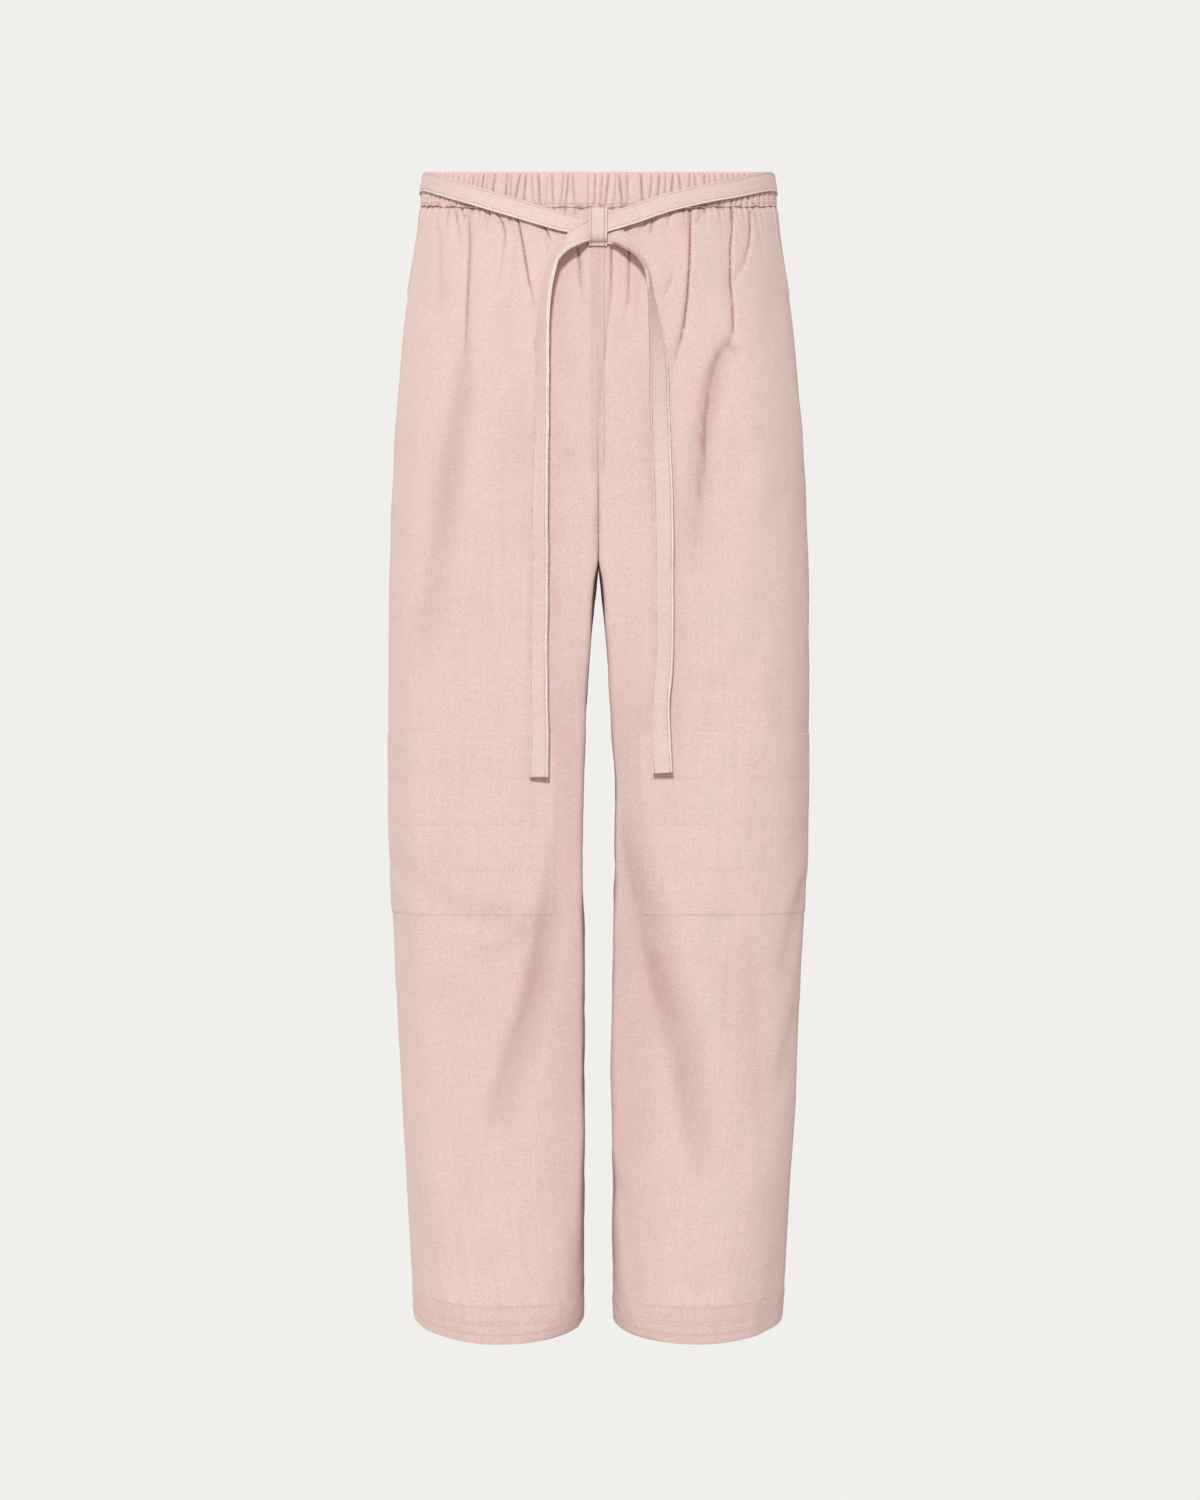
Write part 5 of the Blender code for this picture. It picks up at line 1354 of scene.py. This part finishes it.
def loft(name, middle, facing, half_width, grain_id, thickness=1.0, crumple=0.0):
    """Carries the outline along a route; facing is where its upper face looks."""
    onward = np.gradient(middle, axis=0)
    onward /= np.linalg.norm(onward, axis=1, keepdims=True)
    facing = facing - onward * np.sum(facing * onward, axis=1, keepdims=True)
    facing /= np.linalg.norm(facing, axis=1, keepdims=True)
    across = np.cross(onward, facing)
    wide, out = OUTLINE.T
    grain = np.stack(np.broadcast_arrays(wide * half_width, arc_lengths(middle)[:, None], grain_id), axis=-1)
    noisy = sum(noise_at(grain, bumps.size, bumps.seed) for bumps in CRUMPLE)
    height = out * np.reshape(thickness, (-1, 1)) + np.reshape(crumple, (-1, 1)) * noisy
    rings = middle[:, None] + across[:, None] * wide[:, None] * half_width
    rings = rings + facing[:, None] * height[..., None]
    count, last = len(wide), len(wide) * (len(middle) - 1)
    faces = tube_faces(len(middle), count, joined=False, inside_out=True)
    faces += [tuple(range(count)), tuple(range(last + count - 1, last - 1, -1))]
    # painted highlight and painted shade on the edges, by which way they look, and painted shade in the
    # stitch grooves
    catches = (across @ PAINTED_LIGHT_FROM)[:, None] * wide
    sewn = TIE_GROOVE_SHADE * bell(np.abs(wide) - 1 + TIE_STITCH / half_width, TIE_GROOVE_WIDTH)
    sewn = np.maximum(sewn, EDGE_SHADE * (catches < -LIGHT_FACING_MARGIN) * (np.abs(wide) > EDGE_SHADE_FROM))
    strip = link(name, rings.reshape(-1, 3), faces, grain.reshape(-1, 3), 75.0, sewn)
    # rim faces that look the lit way take the second material, the painted edge highlight
    rim = np.abs(wide) > EDGE_HIGHLIGHT_FROM
    rim &= np.roll(rim, -1)
    pale = np.concatenate([(rim & (catches[:-1] > LIGHT_FACING_MARGIN)).ravel(), (True, True)])
    strip.data.polygons.foreach_set("material_index", pale.astype(np.int32))
    return strip, across, facing


print("an outline has", len(OUTLINE), "sides and two ends close it")

# %% [markdown]
# The strands hang free, so they sway a little as they fall, and they are thicker there, because nothing
# presses them flat against the cloth.

# %% Making the ties
TIE_STEP = 1.7
TIE_GRAIN = 210.0
Sway = namedtuple("Sway", "size length turn")       # the turn is what tells the two ties apart
SWAY_FORWARD, SWAY_ASIDE = (Sway(0.7, 31, 1), Sway(0.3, 11, 0)), (Sway(0.35, 23, 2), Sway(0.15, 8.5, 0))
SWAY_START = (60, 160)          # past the loop, where the strand begins
THIN, THICKER, CRUMPLED, MORE_CRUMPLED = 0.8, 0.75, 0.10, 0.28
Tie = namedtuple("Tie", "piece middle across facing length thickness")


def sway(rows, side, steps):
    """How far a strand sways at a distance along it."""
    return sum(row.size * np.sin(steps / row.length + row.turn * side) for row in rows)


def make_tie(side, stations):
    """A whole tie with its strand."""
    lengths = arc_lengths(stations[:, :3])
    steps = np.linspace(0, lengths[-1], round(lengths[-1] / TIE_STEP))
    samples = np.array([smooth_through(lengths, stations, step) for step in steps])
    middle, facing = samples[:, :3].copy(), samples[:, 3:]
    loose_from = lengths[WAIST_STATIONS]
    hanging = ramp(steps, loose_from + SWAY_START[0], loose_from + SWAY_START[1])
    middle[:, 1] += hanging * sway(SWAY_FORWARD, side, steps)
    middle[:, 0] += hanging * sway(SWAY_ASIDE, side, steps)
    thickness = THIN + THICKER * ramp(steps, loose_from - 30, loose_from + 20)
    piece, across, facing = loft(f"{SIDES[side]}_tie", middle, facing, TIE_WIDTH / 2, TIE_GRAIN + side,
                                 thickness, CRUMPLED + MORE_CRUMPLED * hanging)
    print(f"{piece.name} {lengths[-1]:.0f} mm long")
    return Tie(piece, middle, across, facing, lengths[-1], thickness)


ties = {1: make_tie(1, left_stations), -1: make_tie(-1, right_stations)}

# %% [markdown]
# ## The loop
#
# A short folded strip, sewn under the casing, comes down over both ties and is caught to the fly seam
# below them. It is the same loft along a route in the Y-Z plane.

# %% Loop
LOOP_WIDTH, LOOP_X, LOOP_POINTS, LOOP_GRAIN = 15.8, -0.4, 44, 260.0
LOOP_LINE = (
    (-112.2, -38.9), (-113.6, -39.6), (-117.9, -40.6), (-119.4, -43.5), (-120.6, -57.0),
    (-121.1, -64.6), (-119.2, -68.0), (-114.5, -69.4), (-114.0, -72.3),
)


def make_loop():
    """The loop, its corners rounded by averaging each point with its neighbours."""
    line = np.array(LOOP_LINE)
    path = spaced(line, np.linspace(0, 1, LOOP_POINTS))
    for _ in range(3):
        path[1:-1] = (path[:-2] + 2 * path[1:-1] + path[2:]) / 4
    middle = np.stack([np.full(len(path), LOOP_X), path[:, 0], path[:, 1]], axis=1)
    onward = np.gradient(path, axis=0)
    facing = np.stack([np.zeros(len(path)), onward[:, 1], -onward[:, 0]], axis=1)
    return loft("centre_loop", middle, facing, LOOP_WIDTH / 2, LOOP_GRAIN)[0]


loop = make_loop()
print("loop", len(loop.data.vertices), "points")

# %% [markdown]
# ## Stitching
#
# A sewing machine leaves short raised dashes about three millimetres apart, pulled a little into the
# cloth. Each stitch here is a small closed dash of thread with eight points. Long rows of them are
# joined into one mesh, since thousands of objects would be slow to handle and no use to anyone.

# %% One stitch
STITCH_LONG, STITCH_WIDE, STITCH_HIGH = 2.2, 0.55, 0.34
DASH_POINTS = np.array((
    (-0.5, 0, 0), (-0.3, -0.5, 0), (0.3, -0.5, 0), (0.5, 0, 0), (0.3, 0.5, 0), (-0.3, 0.5, 0),
    (-0.25, 0, 1), (0.25, 0, 1),
), float)
DASH_FACES = ((5, 4, 3, 2, 1, 0), (0, 1, 6), (1, 2, 7, 6), (2, 3, 7), (3, 4, 7), (4, 5, 6, 7), (5, 0, 6))
print(f"a stitch is {STITCH_LONG} x {STITCH_WIDE} mm and {STITCH_HIGH} mm high")

# %% [markdown]
# A row of stitches is a line of points with the directions that the cloth faces there. Stitches are
# spread evenly along it.

# %% Rows of stitches
Dash = namedtuple("Dash", "centre onward facing")
STITCH_PITCH, STITCH_LIFT = 2.9, 0.02
HALF_STITCH = 0.8          # how far before and behind it a stitch takes its direction from


def dashes_along(points, facing, pitch=STITCH_PITCH, across=False):
    """Where the stitches of one row lie: middles, directions of the row, directions the cloth faces."""
    lengths = arc_lengths(points)
    count = max(2, int(lengths[-1] / pitch))
    at = (np.arange(count) + 0.5) * lengths[-1] / count
    onward = sampled(at + HALF_STITCH, lengths, points) - sampled(at - HALF_STITCH, lengths, points)
    onward /= np.linalg.norm(onward, axis=1, keepdims=True)
    facing = sampled(at, lengths, facing)
    return Dash(sampled(at, lengths, points), np.cross(facing, onward) if across else onward, facing)


def sew(name, rows, thread_id):
    """One mesh of all the stitches in rows, a list of Dash."""
    centre, onward, facing = (np.concatenate([getattr(row, part) for row in rows]) for part in Dash._fields)
    across = np.cross(facing, onward)
    across /= np.linalg.norm(across, axis=1, keepdims=True)
    facing = np.cross(onward, across)
    sizes = (onward * STITCH_LONG, across * STITCH_WIDE, facing * STITCH_HIGH)
    points = centre[:, None] + sum(DASH_POINTS[None, :, k:k + 1] * sizes[k][:, None] for k in range(3))
    first = len(DASH_POINTS) * np.arange(len(centre))
    faces = [tuple(int(start) + corner for corner in face) for start in first for face in DASH_FACES]
    grain = np.broadcast_to(centre[:, None], points.shape) + np.array((0.0, 0.0, thread_id))
    print(f"{name}: {len(centre)} stitches")
    return link(name, points.reshape(-1, 3), faces, grain.reshape(-1, 3), 30.0)


stitching = {}
print(f"{STITCH_PITCH} mm from stitch to stitch")

# %% [markdown]
# The hem's rows run level on both panels of a leg, from near one edge to near the other. The casing is
# held by two rows near its lower edge. Those ride over the gathers, so they are placed with the same
# height as the band's own profile.

# %% Hem and band stitches
HEM_ROW_ENDS, HEM_ROW_POINTS = (0.012, 0.992), 260
BAND_STITCH_ROWS = (0.105, 0.225)      # shares of the band's height
BAND_ROW_POINTS, BAND_STITCH_LIFT = 2600, 0.05


def level_row(skin, level):
    """Stitches along one level of a panel."""
    return dashes_along(*on_skin(skin, np.linspace(*HEM_ROW_ENDS, HEM_ROW_POINTS), level, STITCH_LIFT))


def band_line(up):
    """Points of the band's outside at one height, and where they face."""
    around, side, places = round_band(BAND_ROW_POINTS, closed=False)
    z = BAND_BOTTOM + (BAND_TOP - BAND_BOTTOM) * up
    flat, out = on_section(section(z), places)
    outside = np.array(BAND_PROFILE[:BAND_OUTSIDE])
    bite = float(np.interp(up, outside[:, 0], outside[:, 2]))
    flat = flat + out * (gathers(around, up) * bite + BAND_STITCH_LIFT)[:, None]
    points = np.stack([side * flat[:, 0], flat[:, 1], z + slope_at(z) * flat[:, 1]], axis=1)
    return points, np.stack([side * out[:, 0], out[:, 1], np.zeros(len(out))], axis=1)


for side, side_name in SIDES.items():
    rows = [level_row(skins[side, face], HEM + above) for face in ("front", "back") for above in HEM_ROWS]
    stitching[f"{side_name}_hem"] = sew(f"{side_name}_hem_stitches", rows, 300.0)
stitching["band"] = sew("band_stitches", [dashes_along(*band_line(up)) for up in BAND_STITCH_ROWS], 310.0)

# %% [markdown]
# A patch has a row at each join of its quilted rows, a double row at the top, one at the bottom, and
# two down its inner edge.

# %% Patch stitches
PATCH_ROW_ENDS, PATCH_ROW_POINTS = (PATCH_INNER + 0.008, 0.990), 160
PATCH_SIDE_ENDS, PATCH_SIDE_POINTS = (PATCH_TOP - 2, PATCH_BOTTOM + 2), 120
PATCH_EDGE, PATCH_SECOND = 2.2, 8.0            # from the patch's edge to its rows, in mm
PATCH_SIDES = (0.012, 0.042)                   # from its inner edge, as shares of the panel's width


def patch_row(side, shares, levels):
    """Stitches on a patch along shares and levels."""
    shares, levels = np.broadcast_arrays(shares, levels)
    height = patch_height(shares, levels) + STITCH_LIFT
    return dashes_along(*on_skin(skins[side, "front"], shares, levels, height))


for side, side_name in SIDES.items():
    levels = [PATCH_TOP - PATCH_EDGE, PATCH_TOP - PATCH_SECOND, PATCH_BOTTOM + PATCH_EDGE]
    levels += [PATCH_TOP - PATCH_ROW * k for k in range(1, PATCH_ROWS)]
    rows = [patch_row(side, np.linspace(*PATCH_ROW_ENDS, PATCH_ROW_POINTS), level) for level in levels]
    downward = np.linspace(*PATCH_SIDE_ENDS, PATCH_SIDE_POINTS)
    rows += [patch_row(side, PATCH_INNER + share, downward) for share in PATCH_SIDES]
    stitching[f"{side_name}_patch"] = sew(f"{side_name}_patch_stitches", rows, 320.0)

# %% [markdown]
# The felled seam shows rows of short ticks across its direction, and the seat's seam behind one row on
# each side. Down each side run the pocket's row and the row that holds the side seam's allowance. That
# one stops where the patch is sewn over it.

# %% Centre and side stitches
COLUMN_POINTS = 140
FELL_ROWS, FELL_PITCH = (2.4, 3.9, -2.9, -4.4), 2.1     # x of the rows on the felled seam
SEAT_ROW, POCKET_ROW, SIDE_ROW = 6.0, 3.2, 6.5          # from the seam, in mm


def column_row(skin, top, bottom, from_centre=None, from_side=None, pitch=STITCH_PITCH, across=False):
    """Stitches down a panel at a fixed distance from one of its long edges."""
    levels = np.linspace(top, bottom, COLUMN_POINTS)
    shares = np.clip(share_at(skin, levels, from_centre, from_side), 0.002, 0.998)
    return dashes_along(*on_skin(skin, shares, levels, STITCH_LIFT), pitch, across)


centre_rows = [column_row(skins[1 if x > 0 else -1, "front"], BAND_BOTTOM - 3, FELL_END, from_centre=abs(x),
                          pitch=FELL_PITCH, across=True) for x in FELL_ROWS]
centre_rows += [column_row(skins[side, "back"], BAND_BOTTOM - 3, CROTCH + 12, from_centre=SEAT_ROW)
                for side in SIDES]
stitching["centre"] = sew("centre_stitches", centre_rows, 330.0)

side_rows = []
for side in SIDES:
    front = skins[side, "front"]
    side_rows.append(column_row(front, BAND_BOTTOM - 2, POCKET_BOTTOM, from_side=POCKET_ROW))
    side_rows.append(column_row(front, POCKET_BOTTOM - 3, PATCH_TOP + 4, from_side=SIDE_ROW))
    side_rows.append(column_row(front, PATCH_BOTTOM - 4, HEM + 38, from_side=SIDE_ROW))
stitching["sides"] = sew("side_stitches", side_rows, 340.0)

# %% [markdown]
# The ties are stitched along both edges, and a machine's stitch shows on both faces of the cloth.

# %% Tie stitches
TIE_PITCH, TIE_FACE_OUT = 2.6, 0.56            # the groove's bottom, in mm from the middle of the strap


def tie_stitches(side):
    """Four rows of stitches on one tie."""
    tie = ties[side]
    edge = TIE_WIDTH / 2 - TIE_STITCH
    rows = []
    for which in (-1, 1):
        for face in (-1, 1):
            line = tie.middle + tie.across * edge * which
            line = line + tie.facing * (TIE_FACE_OUT * tie.thickness * face)[:, None]
            rows.append(dashes_along(line[2:-2], tie.facing[2:-2] * face, pitch=TIE_PITCH))
    return sew(f"{SIDES[side]}_tie_stitches", rows, 350.0)


for side, side_name in SIDES.items():
    stitching[f"{side_name}_tie"] = tie_stitches(side)

# %% [markdown]
# ## The cotton
#
# The cloth is a plain weave of slightly uneven yarn in a pale dusty pink. Three things make it read as
# cotton: a thread pattern half a millimetre wide, yarns that run thick and thin for a few centimetres,
# and a matt surface with a little down that catches light at the edges. Colour varies only a few per
# cent, because dye takes evenly. All patterns are computed from `grain`, so they bend with the folds.
# The tables hold what a weaver would choose: how many threads, how uneven, and how strong each shows.

# %% Finishes
Cotton = namedtuple("Cotton", "colour roughness sheen bump")
COTTON = Cotton((0.796, 0.588, 0.542), 0.88, 0.40, 0.60)
TIE_COTTON = Cotton((0.790, 0.596, 0.552), 0.86, 0.20, 0.45)
THREAD = Cotton((0.900, 0.740, 0.695), 0.80, 0.10, 0.0)
# a paler copy of the cotton: the painted highlight on the straps' edges
EDGE_HIGHLIGHT = Cotton((0.900, 0.800, 0.765), 0.70, 0.10, 0.0)
# what full painted shade leaves of each colour
CREASE_SHADE_COLOUR = (0.56, 0.36, 0.38)       # what a crease leaves of each colour
SHEEN_ROUGHNESS, SHEEN_TINT, SPECULAR = 0.6, (1.0, 0.88, 0.84, 1.0), 0.25
COOLER, WARMER = (1.0, 0.975, 1.035), (1.0, 1.025, 0.96)   # the dye drifts between these
Cloud = namedtuple("Cloud", "across along detail through", defaults=(40.0,))      # bumps a metre each way
WARP, WEFT, YARN = Cloud(820.0, 14.0, 3.0), Cloud(60.0, 820.0, 2.0), Cloud(1050.0, 760.0, 1.0)
MOTTLE, SPECKS, DYE = Cloud(22.0, 12.0, 3.0), Cloud(420.0, 420.0, 0.0), Cloud(26.0, 9.0, 2.0, 55.0)
TONE, WARP_TONE, WEFT_TONE, YARN_TONE, MOTTLE_TONE = 0.70, 0.14, 0.10, 0.43, 0.06
SPECK_FROM, SPECK_TONE = 0.815, 0.10
THREADS_A_METRE, THREAD_RELIEF, BUMP_DEPTH = 1900.0, 0.35, 0.0003
print("base colour of the cotton", COTTON.colour)

# %% [markdown]
# A material is a graph of nodes. Three small helpers add the kinds that this one needs most: sums of
# numbers, the grain stretched to a pattern's scale, and a cloud of noise on it.

# %% Node helpers
def maths(tree, operation, *values):
    """A Math node; each value is a number or another node's output."""
    node = tree.nodes.new("ShaderNodeMath")
    node.operation = operation
    for socket, value in zip(node.inputs, values):
        if isinstance(value, (int, float)):
            socket.default_value = value
        else:
            tree.links.new(value, socket)
    return node.outputs["Value"]


def attribute(tree, name, output):
    """A point attribute of the mesh."""
    node = tree.nodes.new("ShaderNodeAttribute")
    node.attribute_name = name
    return node.outputs[output]


def vectors(tree, operation, first, second):
    """A Vector Math node; the second value is three numbers or another node's output."""
    node = tree.nodes.new("ShaderNodeVectorMath")
    node.operation = operation
    socket = node.inputs["Scale"] if operation == "SCALE" else node.inputs[1]
    tree.links.new(first, node.inputs[0])
    if isinstance(second, tuple):
        socket.default_value = second
    else:
        tree.links.new(second, socket)
    return node.outputs["Vector"]


def cloud(tree, grain, pattern):
    """Noise on the grain, its bumps as many a metre as the pattern says."""
    node = tree.nodes.new("ShaderNodeTexNoise")
    node.inputs["Scale"].default_value = 1.0
    node.inputs["Detail"].default_value = pattern.detail
    stretched = vectors(tree, "MULTIPLY", grain, (pattern.across, pattern.along, pattern.through))
    tree.links.new(stretched, node.inputs["Vector"])
    return node.outputs["Fac"]


def mixed(tree, factor, first, second):
    """A colour between two, by a factor from 0 to 1."""
    node = tree.nodes.new("ShaderNodeMix")
    node.data_type = "RGBA"
    node.inputs["A"].default_value = (*first, 1.0)
    node.inputs["B"].default_value = (*second, 1.0)
    tree.links.new(factor, node.inputs["Factor"])
    return node.outputs["Result"]


print("node helpers are ready")

# %% [markdown]
# The colour is the dye's, times the tone of the yarns, times what the painted shade in the attribute
# `crease` leaves of it. The relief is the crossing of two sine waves, one a thread wide each way, on the
# unevenness of warp and weft.

# %% Colour and relief of the weave
def weave_tone(tree, grain, warp, weft):
    """How bright the yarns make the dye."""
    tone = maths(tree, "MULTIPLY_ADD", warp, WARP_TONE, TONE)
    tone = maths(tree, "MULTIPLY_ADD", weft, WEFT_TONE, tone)
    tone = maths(tree, "MULTIPLY_ADD", cloud(tree, grain, YARN), YARN_TONE, tone)
    mottle = maths(tree, "MULTIPLY_ADD", cloud(tree, grain, MOTTLE), MOTTLE_TONE, -MOTTLE_TONE)
    specks = maths(tree, "GREATER_THAN", cloud(tree, grain, SPECKS), SPECK_FROM)
    tone = maths(tree, "ADD", tone, mottle)
    return maths(tree, "SUBTRACT", tone, maths(tree, "MULTIPLY", specks, SPECK_TONE))


def weave_normal(tree, grain, warp, weft, strength):
    """The bump of crossing threads."""
    split = tree.nodes.new("ShaderNodeSeparateXYZ")
    turns = THREADS_A_METRE * math.pi
    tree.links.new(vectors(tree, "MULTIPLY", grain, (turns, turns, 1.0)), split.inputs["Vector"])
    over = maths(tree, "MULTIPLY", *(maths(tree, "SINE", split.outputs[axis]) for axis in "XY"))
    bump = tree.nodes.new("ShaderNodeBump")
    bump.inputs["Strength"].default_value = strength
    bump.inputs["Distance"].default_value = BUMP_DEPTH
    height = maths(tree, "MULTIPLY_ADD", over, THREAD_RELIEF, maths(tree, "ADD", warp, weft))
    tree.links.new(height, bump.inputs["Height"])
    return bump.outputs["Normal"]


def cotton_material(name, cloth):
    """One finish of the cotton."""
    material = bpy.data.materials.new(name)
    material.use_nodes = True
    tree = material.node_tree
    shader = tree.nodes["Principled BSDF"]
    shader.inputs["Roughness"].default_value = cloth.roughness
    shader.inputs["Sheen Weight"].default_value = cloth.sheen
    shader.inputs["Sheen Roughness"].default_value = SHEEN_ROUGHNESS
    shader.inputs["Sheen Tint"].default_value = SHEEN_TINT
    shader.inputs["Specular IOR Level"].default_value = SPECULAR
    grain = attribute(tree, "grain", "Vector")
    warp, weft = cloud(tree, grain, WARP), cloud(tree, grain, WEFT)
    shades = [np.array(cloth.colour) * drift for drift in (COOLER, WARMER)]
    hue = mixed(tree, cloud(tree, grain, DYE), *shades)
    dyed = vectors(tree, "SCALE", hue, weave_tone(tree, grain, warp, weft))
    # painted shade, read from the attribute crease
    deep = mixed(tree, attribute(tree, "crease", "Fac"), (1.0, 1.0, 1.0), CREASE_SHADE_COLOUR)
    tree.links.new(vectors(tree, "MULTIPLY", dyed, deep), shader.inputs["Base Color"])
    if cloth.bump:
        tree.links.new(weave_normal(tree, grain, warp, weft, cloth.bump), shader.inputs["Normal"])
    return material


cotton = cotton_material("dusty_pink_cotton", COTTON)
tie_cotton = cotton_material("tie_cotton", TIE_COTTON)
thread = cotton_material("sewing_thread", THREAD)
painted_edge_highlight = cotton_material("painted_edge_highlight", EDGE_HIGHLIGHT)
print("materials:", cotton.name, tie_cotton.name, thread.name, painted_edge_highlight.name)

# %% [markdown]
# Large pieces get the plain cotton. The straps get their own, which is a little smoother from pressing,
# and the painted highlight of their edges in the second place, where the loft put those faces.

# %% Finishes on the pieces
large_pieces = [*panels.values(), *patches.values(), band]
straps = [ties[1].piece, ties[-1].piece, loop]
for piece in large_pieces:
    piece.data.materials.append(cotton)
for piece in straps:
    piece.data.materials.append(tie_cotton)
    piece.data.materials.append(painted_edge_highlight)
for piece in stitching.values():
    piece.data.materials.append(thread)
print(len(large_pieces) + len(straps) + len(stitching), "pieces have a finish")

# %% [markdown]
# ## Light and floor
#
# The light is a soft studio light: one source high in front, a little to the left, and a pale room that
# is brighter behind the garment and on its left. Most of the form shows through small changes of tone, so
# the room must not be too bright, or it fills every fold. The camera sees the room as an even pale
# backdrop, whatever its light does. The floor lies below the picture.

# %% Room
ROOM_SEEN = (0.871, 0.863, 0.831)
ROOM_LIGHT, BACKDROP, WINDOW = 0.62, 0.45, 0.11    # brighter than the room: the backdrop, and the left
ROOM_TINT, KEY_TINT = (1.0, 0.915, 0.89), (1.0, 1.07, 1.085)   # shade on pink cloth is pinker than light

scene = bpy.context.scene
scene.view_settings.view_transform = "Standard"
world = bpy.data.worlds.new("studio")
scene.world = world
world.use_nodes = True
tree = world.node_tree
backdrop = tree.nodes["Background"]
backdrop.inputs["Color"].default_value = (*ROOM_SEEN, 1.0)
backdrop.inputs["Strength"].default_value = 1.0
room = tree.nodes.new("ShaderNodeBackground")
room.inputs["Color"].default_value = (*ROOM_TINT, 1.0)
direction = tree.nodes.new("ShaderNodeSeparateXYZ")
tree.links.new(tree.nodes.new("ShaderNodeTexCoord").outputs["Generated"], direction.inputs["Vector"])
glow = maths(tree, "MULTIPLY_ADD", direction.outputs["Y"], ROOM_LIGHT * BACKDROP, ROOM_LIGHT)
glow = maths(tree, "MULTIPLY_ADD", direction.outputs["X"], -ROOM_LIGHT * WINDOW, glow)
tree.links.new(glow, room.inputs["Strength"])
mix = tree.nodes.new("ShaderNodeMixShader")
tree.links.new(tree.nodes.new("ShaderNodeLightPath").outputs["Is Camera Ray"], mix.inputs["Fac"])
tree.links.new(room.outputs["Background"], mix.inputs[1])
tree.links.new(backdrop.outputs["Background"], mix.inputs[2])
tree.links.new(mix.outputs["Shader"], tree.nodes["World Output"].inputs["Surface"])
print(f"the room lights with {ROOM_LIGHT} and a backdrop {BACKDROP:.0%} brighter")

# %% [markdown]
# The lamp is a disk over a metre wide and more than ten metres away. A wider one would blur the small
# shadows of the ties, and a nearer one would darken the hems.

# %% Lamp and floor
KEY_AT, KEY_AIM, KEY_SIZE, KEY_WATTS = (-1.1, -10.8, 3.8), (0.0, 0.0, -0.5), 1.6, 880.0
FLOOR_LEVEL, FLOOR_RADIUS, FLOOR_SIDES = -1.35, 0.5, 96
FLOOR_COLOUR, FLOOR_ROUGHNESS = (0.80, 0.79, 0.76, 1.0), 0.9

lamp_data = bpy.data.lights.new("key", "AREA")
lamp_data.shape = "DISK"
lamp_data.size = KEY_SIZE
lamp_data.energy = KEY_WATTS
lamp_data.color = KEY_TINT
lamp = bpy.data.objects.new("key", lamp_data)
lamp.location = KEY_AT
lamp.rotation_euler = (Vector(KEY_AIM) - Vector(KEY_AT)).to_track_quat("-Z", "Y").to_euler()
scene.collection.objects.link(lamp)

turn = np.linspace(0, 2 * math.pi, FLOOR_SIDES, endpoint=False)
rim = np.stack([np.cos(turn), np.sin(turn)], axis=1) * FLOOR_RADIUS
floor_mesh = bpy.data.meshes.new("floor")
floor_mesh.from_pydata([(x, y, FLOOR_LEVEL) for x, y in rim.tolist()], [], [tuple(range(FLOOR_SIDES))])
floor = bpy.data.objects.new("floor", floor_mesh)
scene.collection.objects.link(floor)
pale = bpy.data.materials.new("pale_floor")
pale.use_nodes = True
pale.node_tree.nodes["Principled BSDF"].inputs["Base Color"].default_value = FLOOR_COLOUR
pale.node_tree.nodes["Principled BSDF"].inputs["Roughness"].default_value = FLOOR_ROUGHNESS
floor_mesh.materials.append(pale)
print(f"the lamp is {Vector(KEY_AT).length:.1f} m away, the floor {-FLOOR_LEVEL} m below the waist")

# %% [markdown]
# ## The solids give way
#
# Each cloth panel takes the place of its solid from model.glb, which is hidden. A list of the stitching
# on each front is gathered, but nothing uses it.

# %% Hiding the panels' solids
for (side, face), panel in panels.items():
    sewn_on = []
    if face == "front":
        sewn_on = [stitching[f"{SIDES[side]}_patch"], stitching[f"{SIDES[side]}_hem"]]
        sewn_on += [stitching["centre"], stitching["sides"]] if side > 0 else []
    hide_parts(f"{face}_{SIDES[side]}")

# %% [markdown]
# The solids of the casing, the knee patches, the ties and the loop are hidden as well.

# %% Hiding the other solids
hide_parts("waistband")
for side, patch in patches.items():
    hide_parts(f"knee_patch_{SIDES[side]}")
for side, tie in ties.items():
    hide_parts(f"tie_{SIDES[side]}")
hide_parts("tie_loop")

# %% [markdown]
# Every piece rides on the one body.

# %% Bodies
for piece in large_pieces:
    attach(piece, "root")
for piece in straps:
    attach(piece, "root")
for key, piece in stitching.items():
    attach(piece, "root")
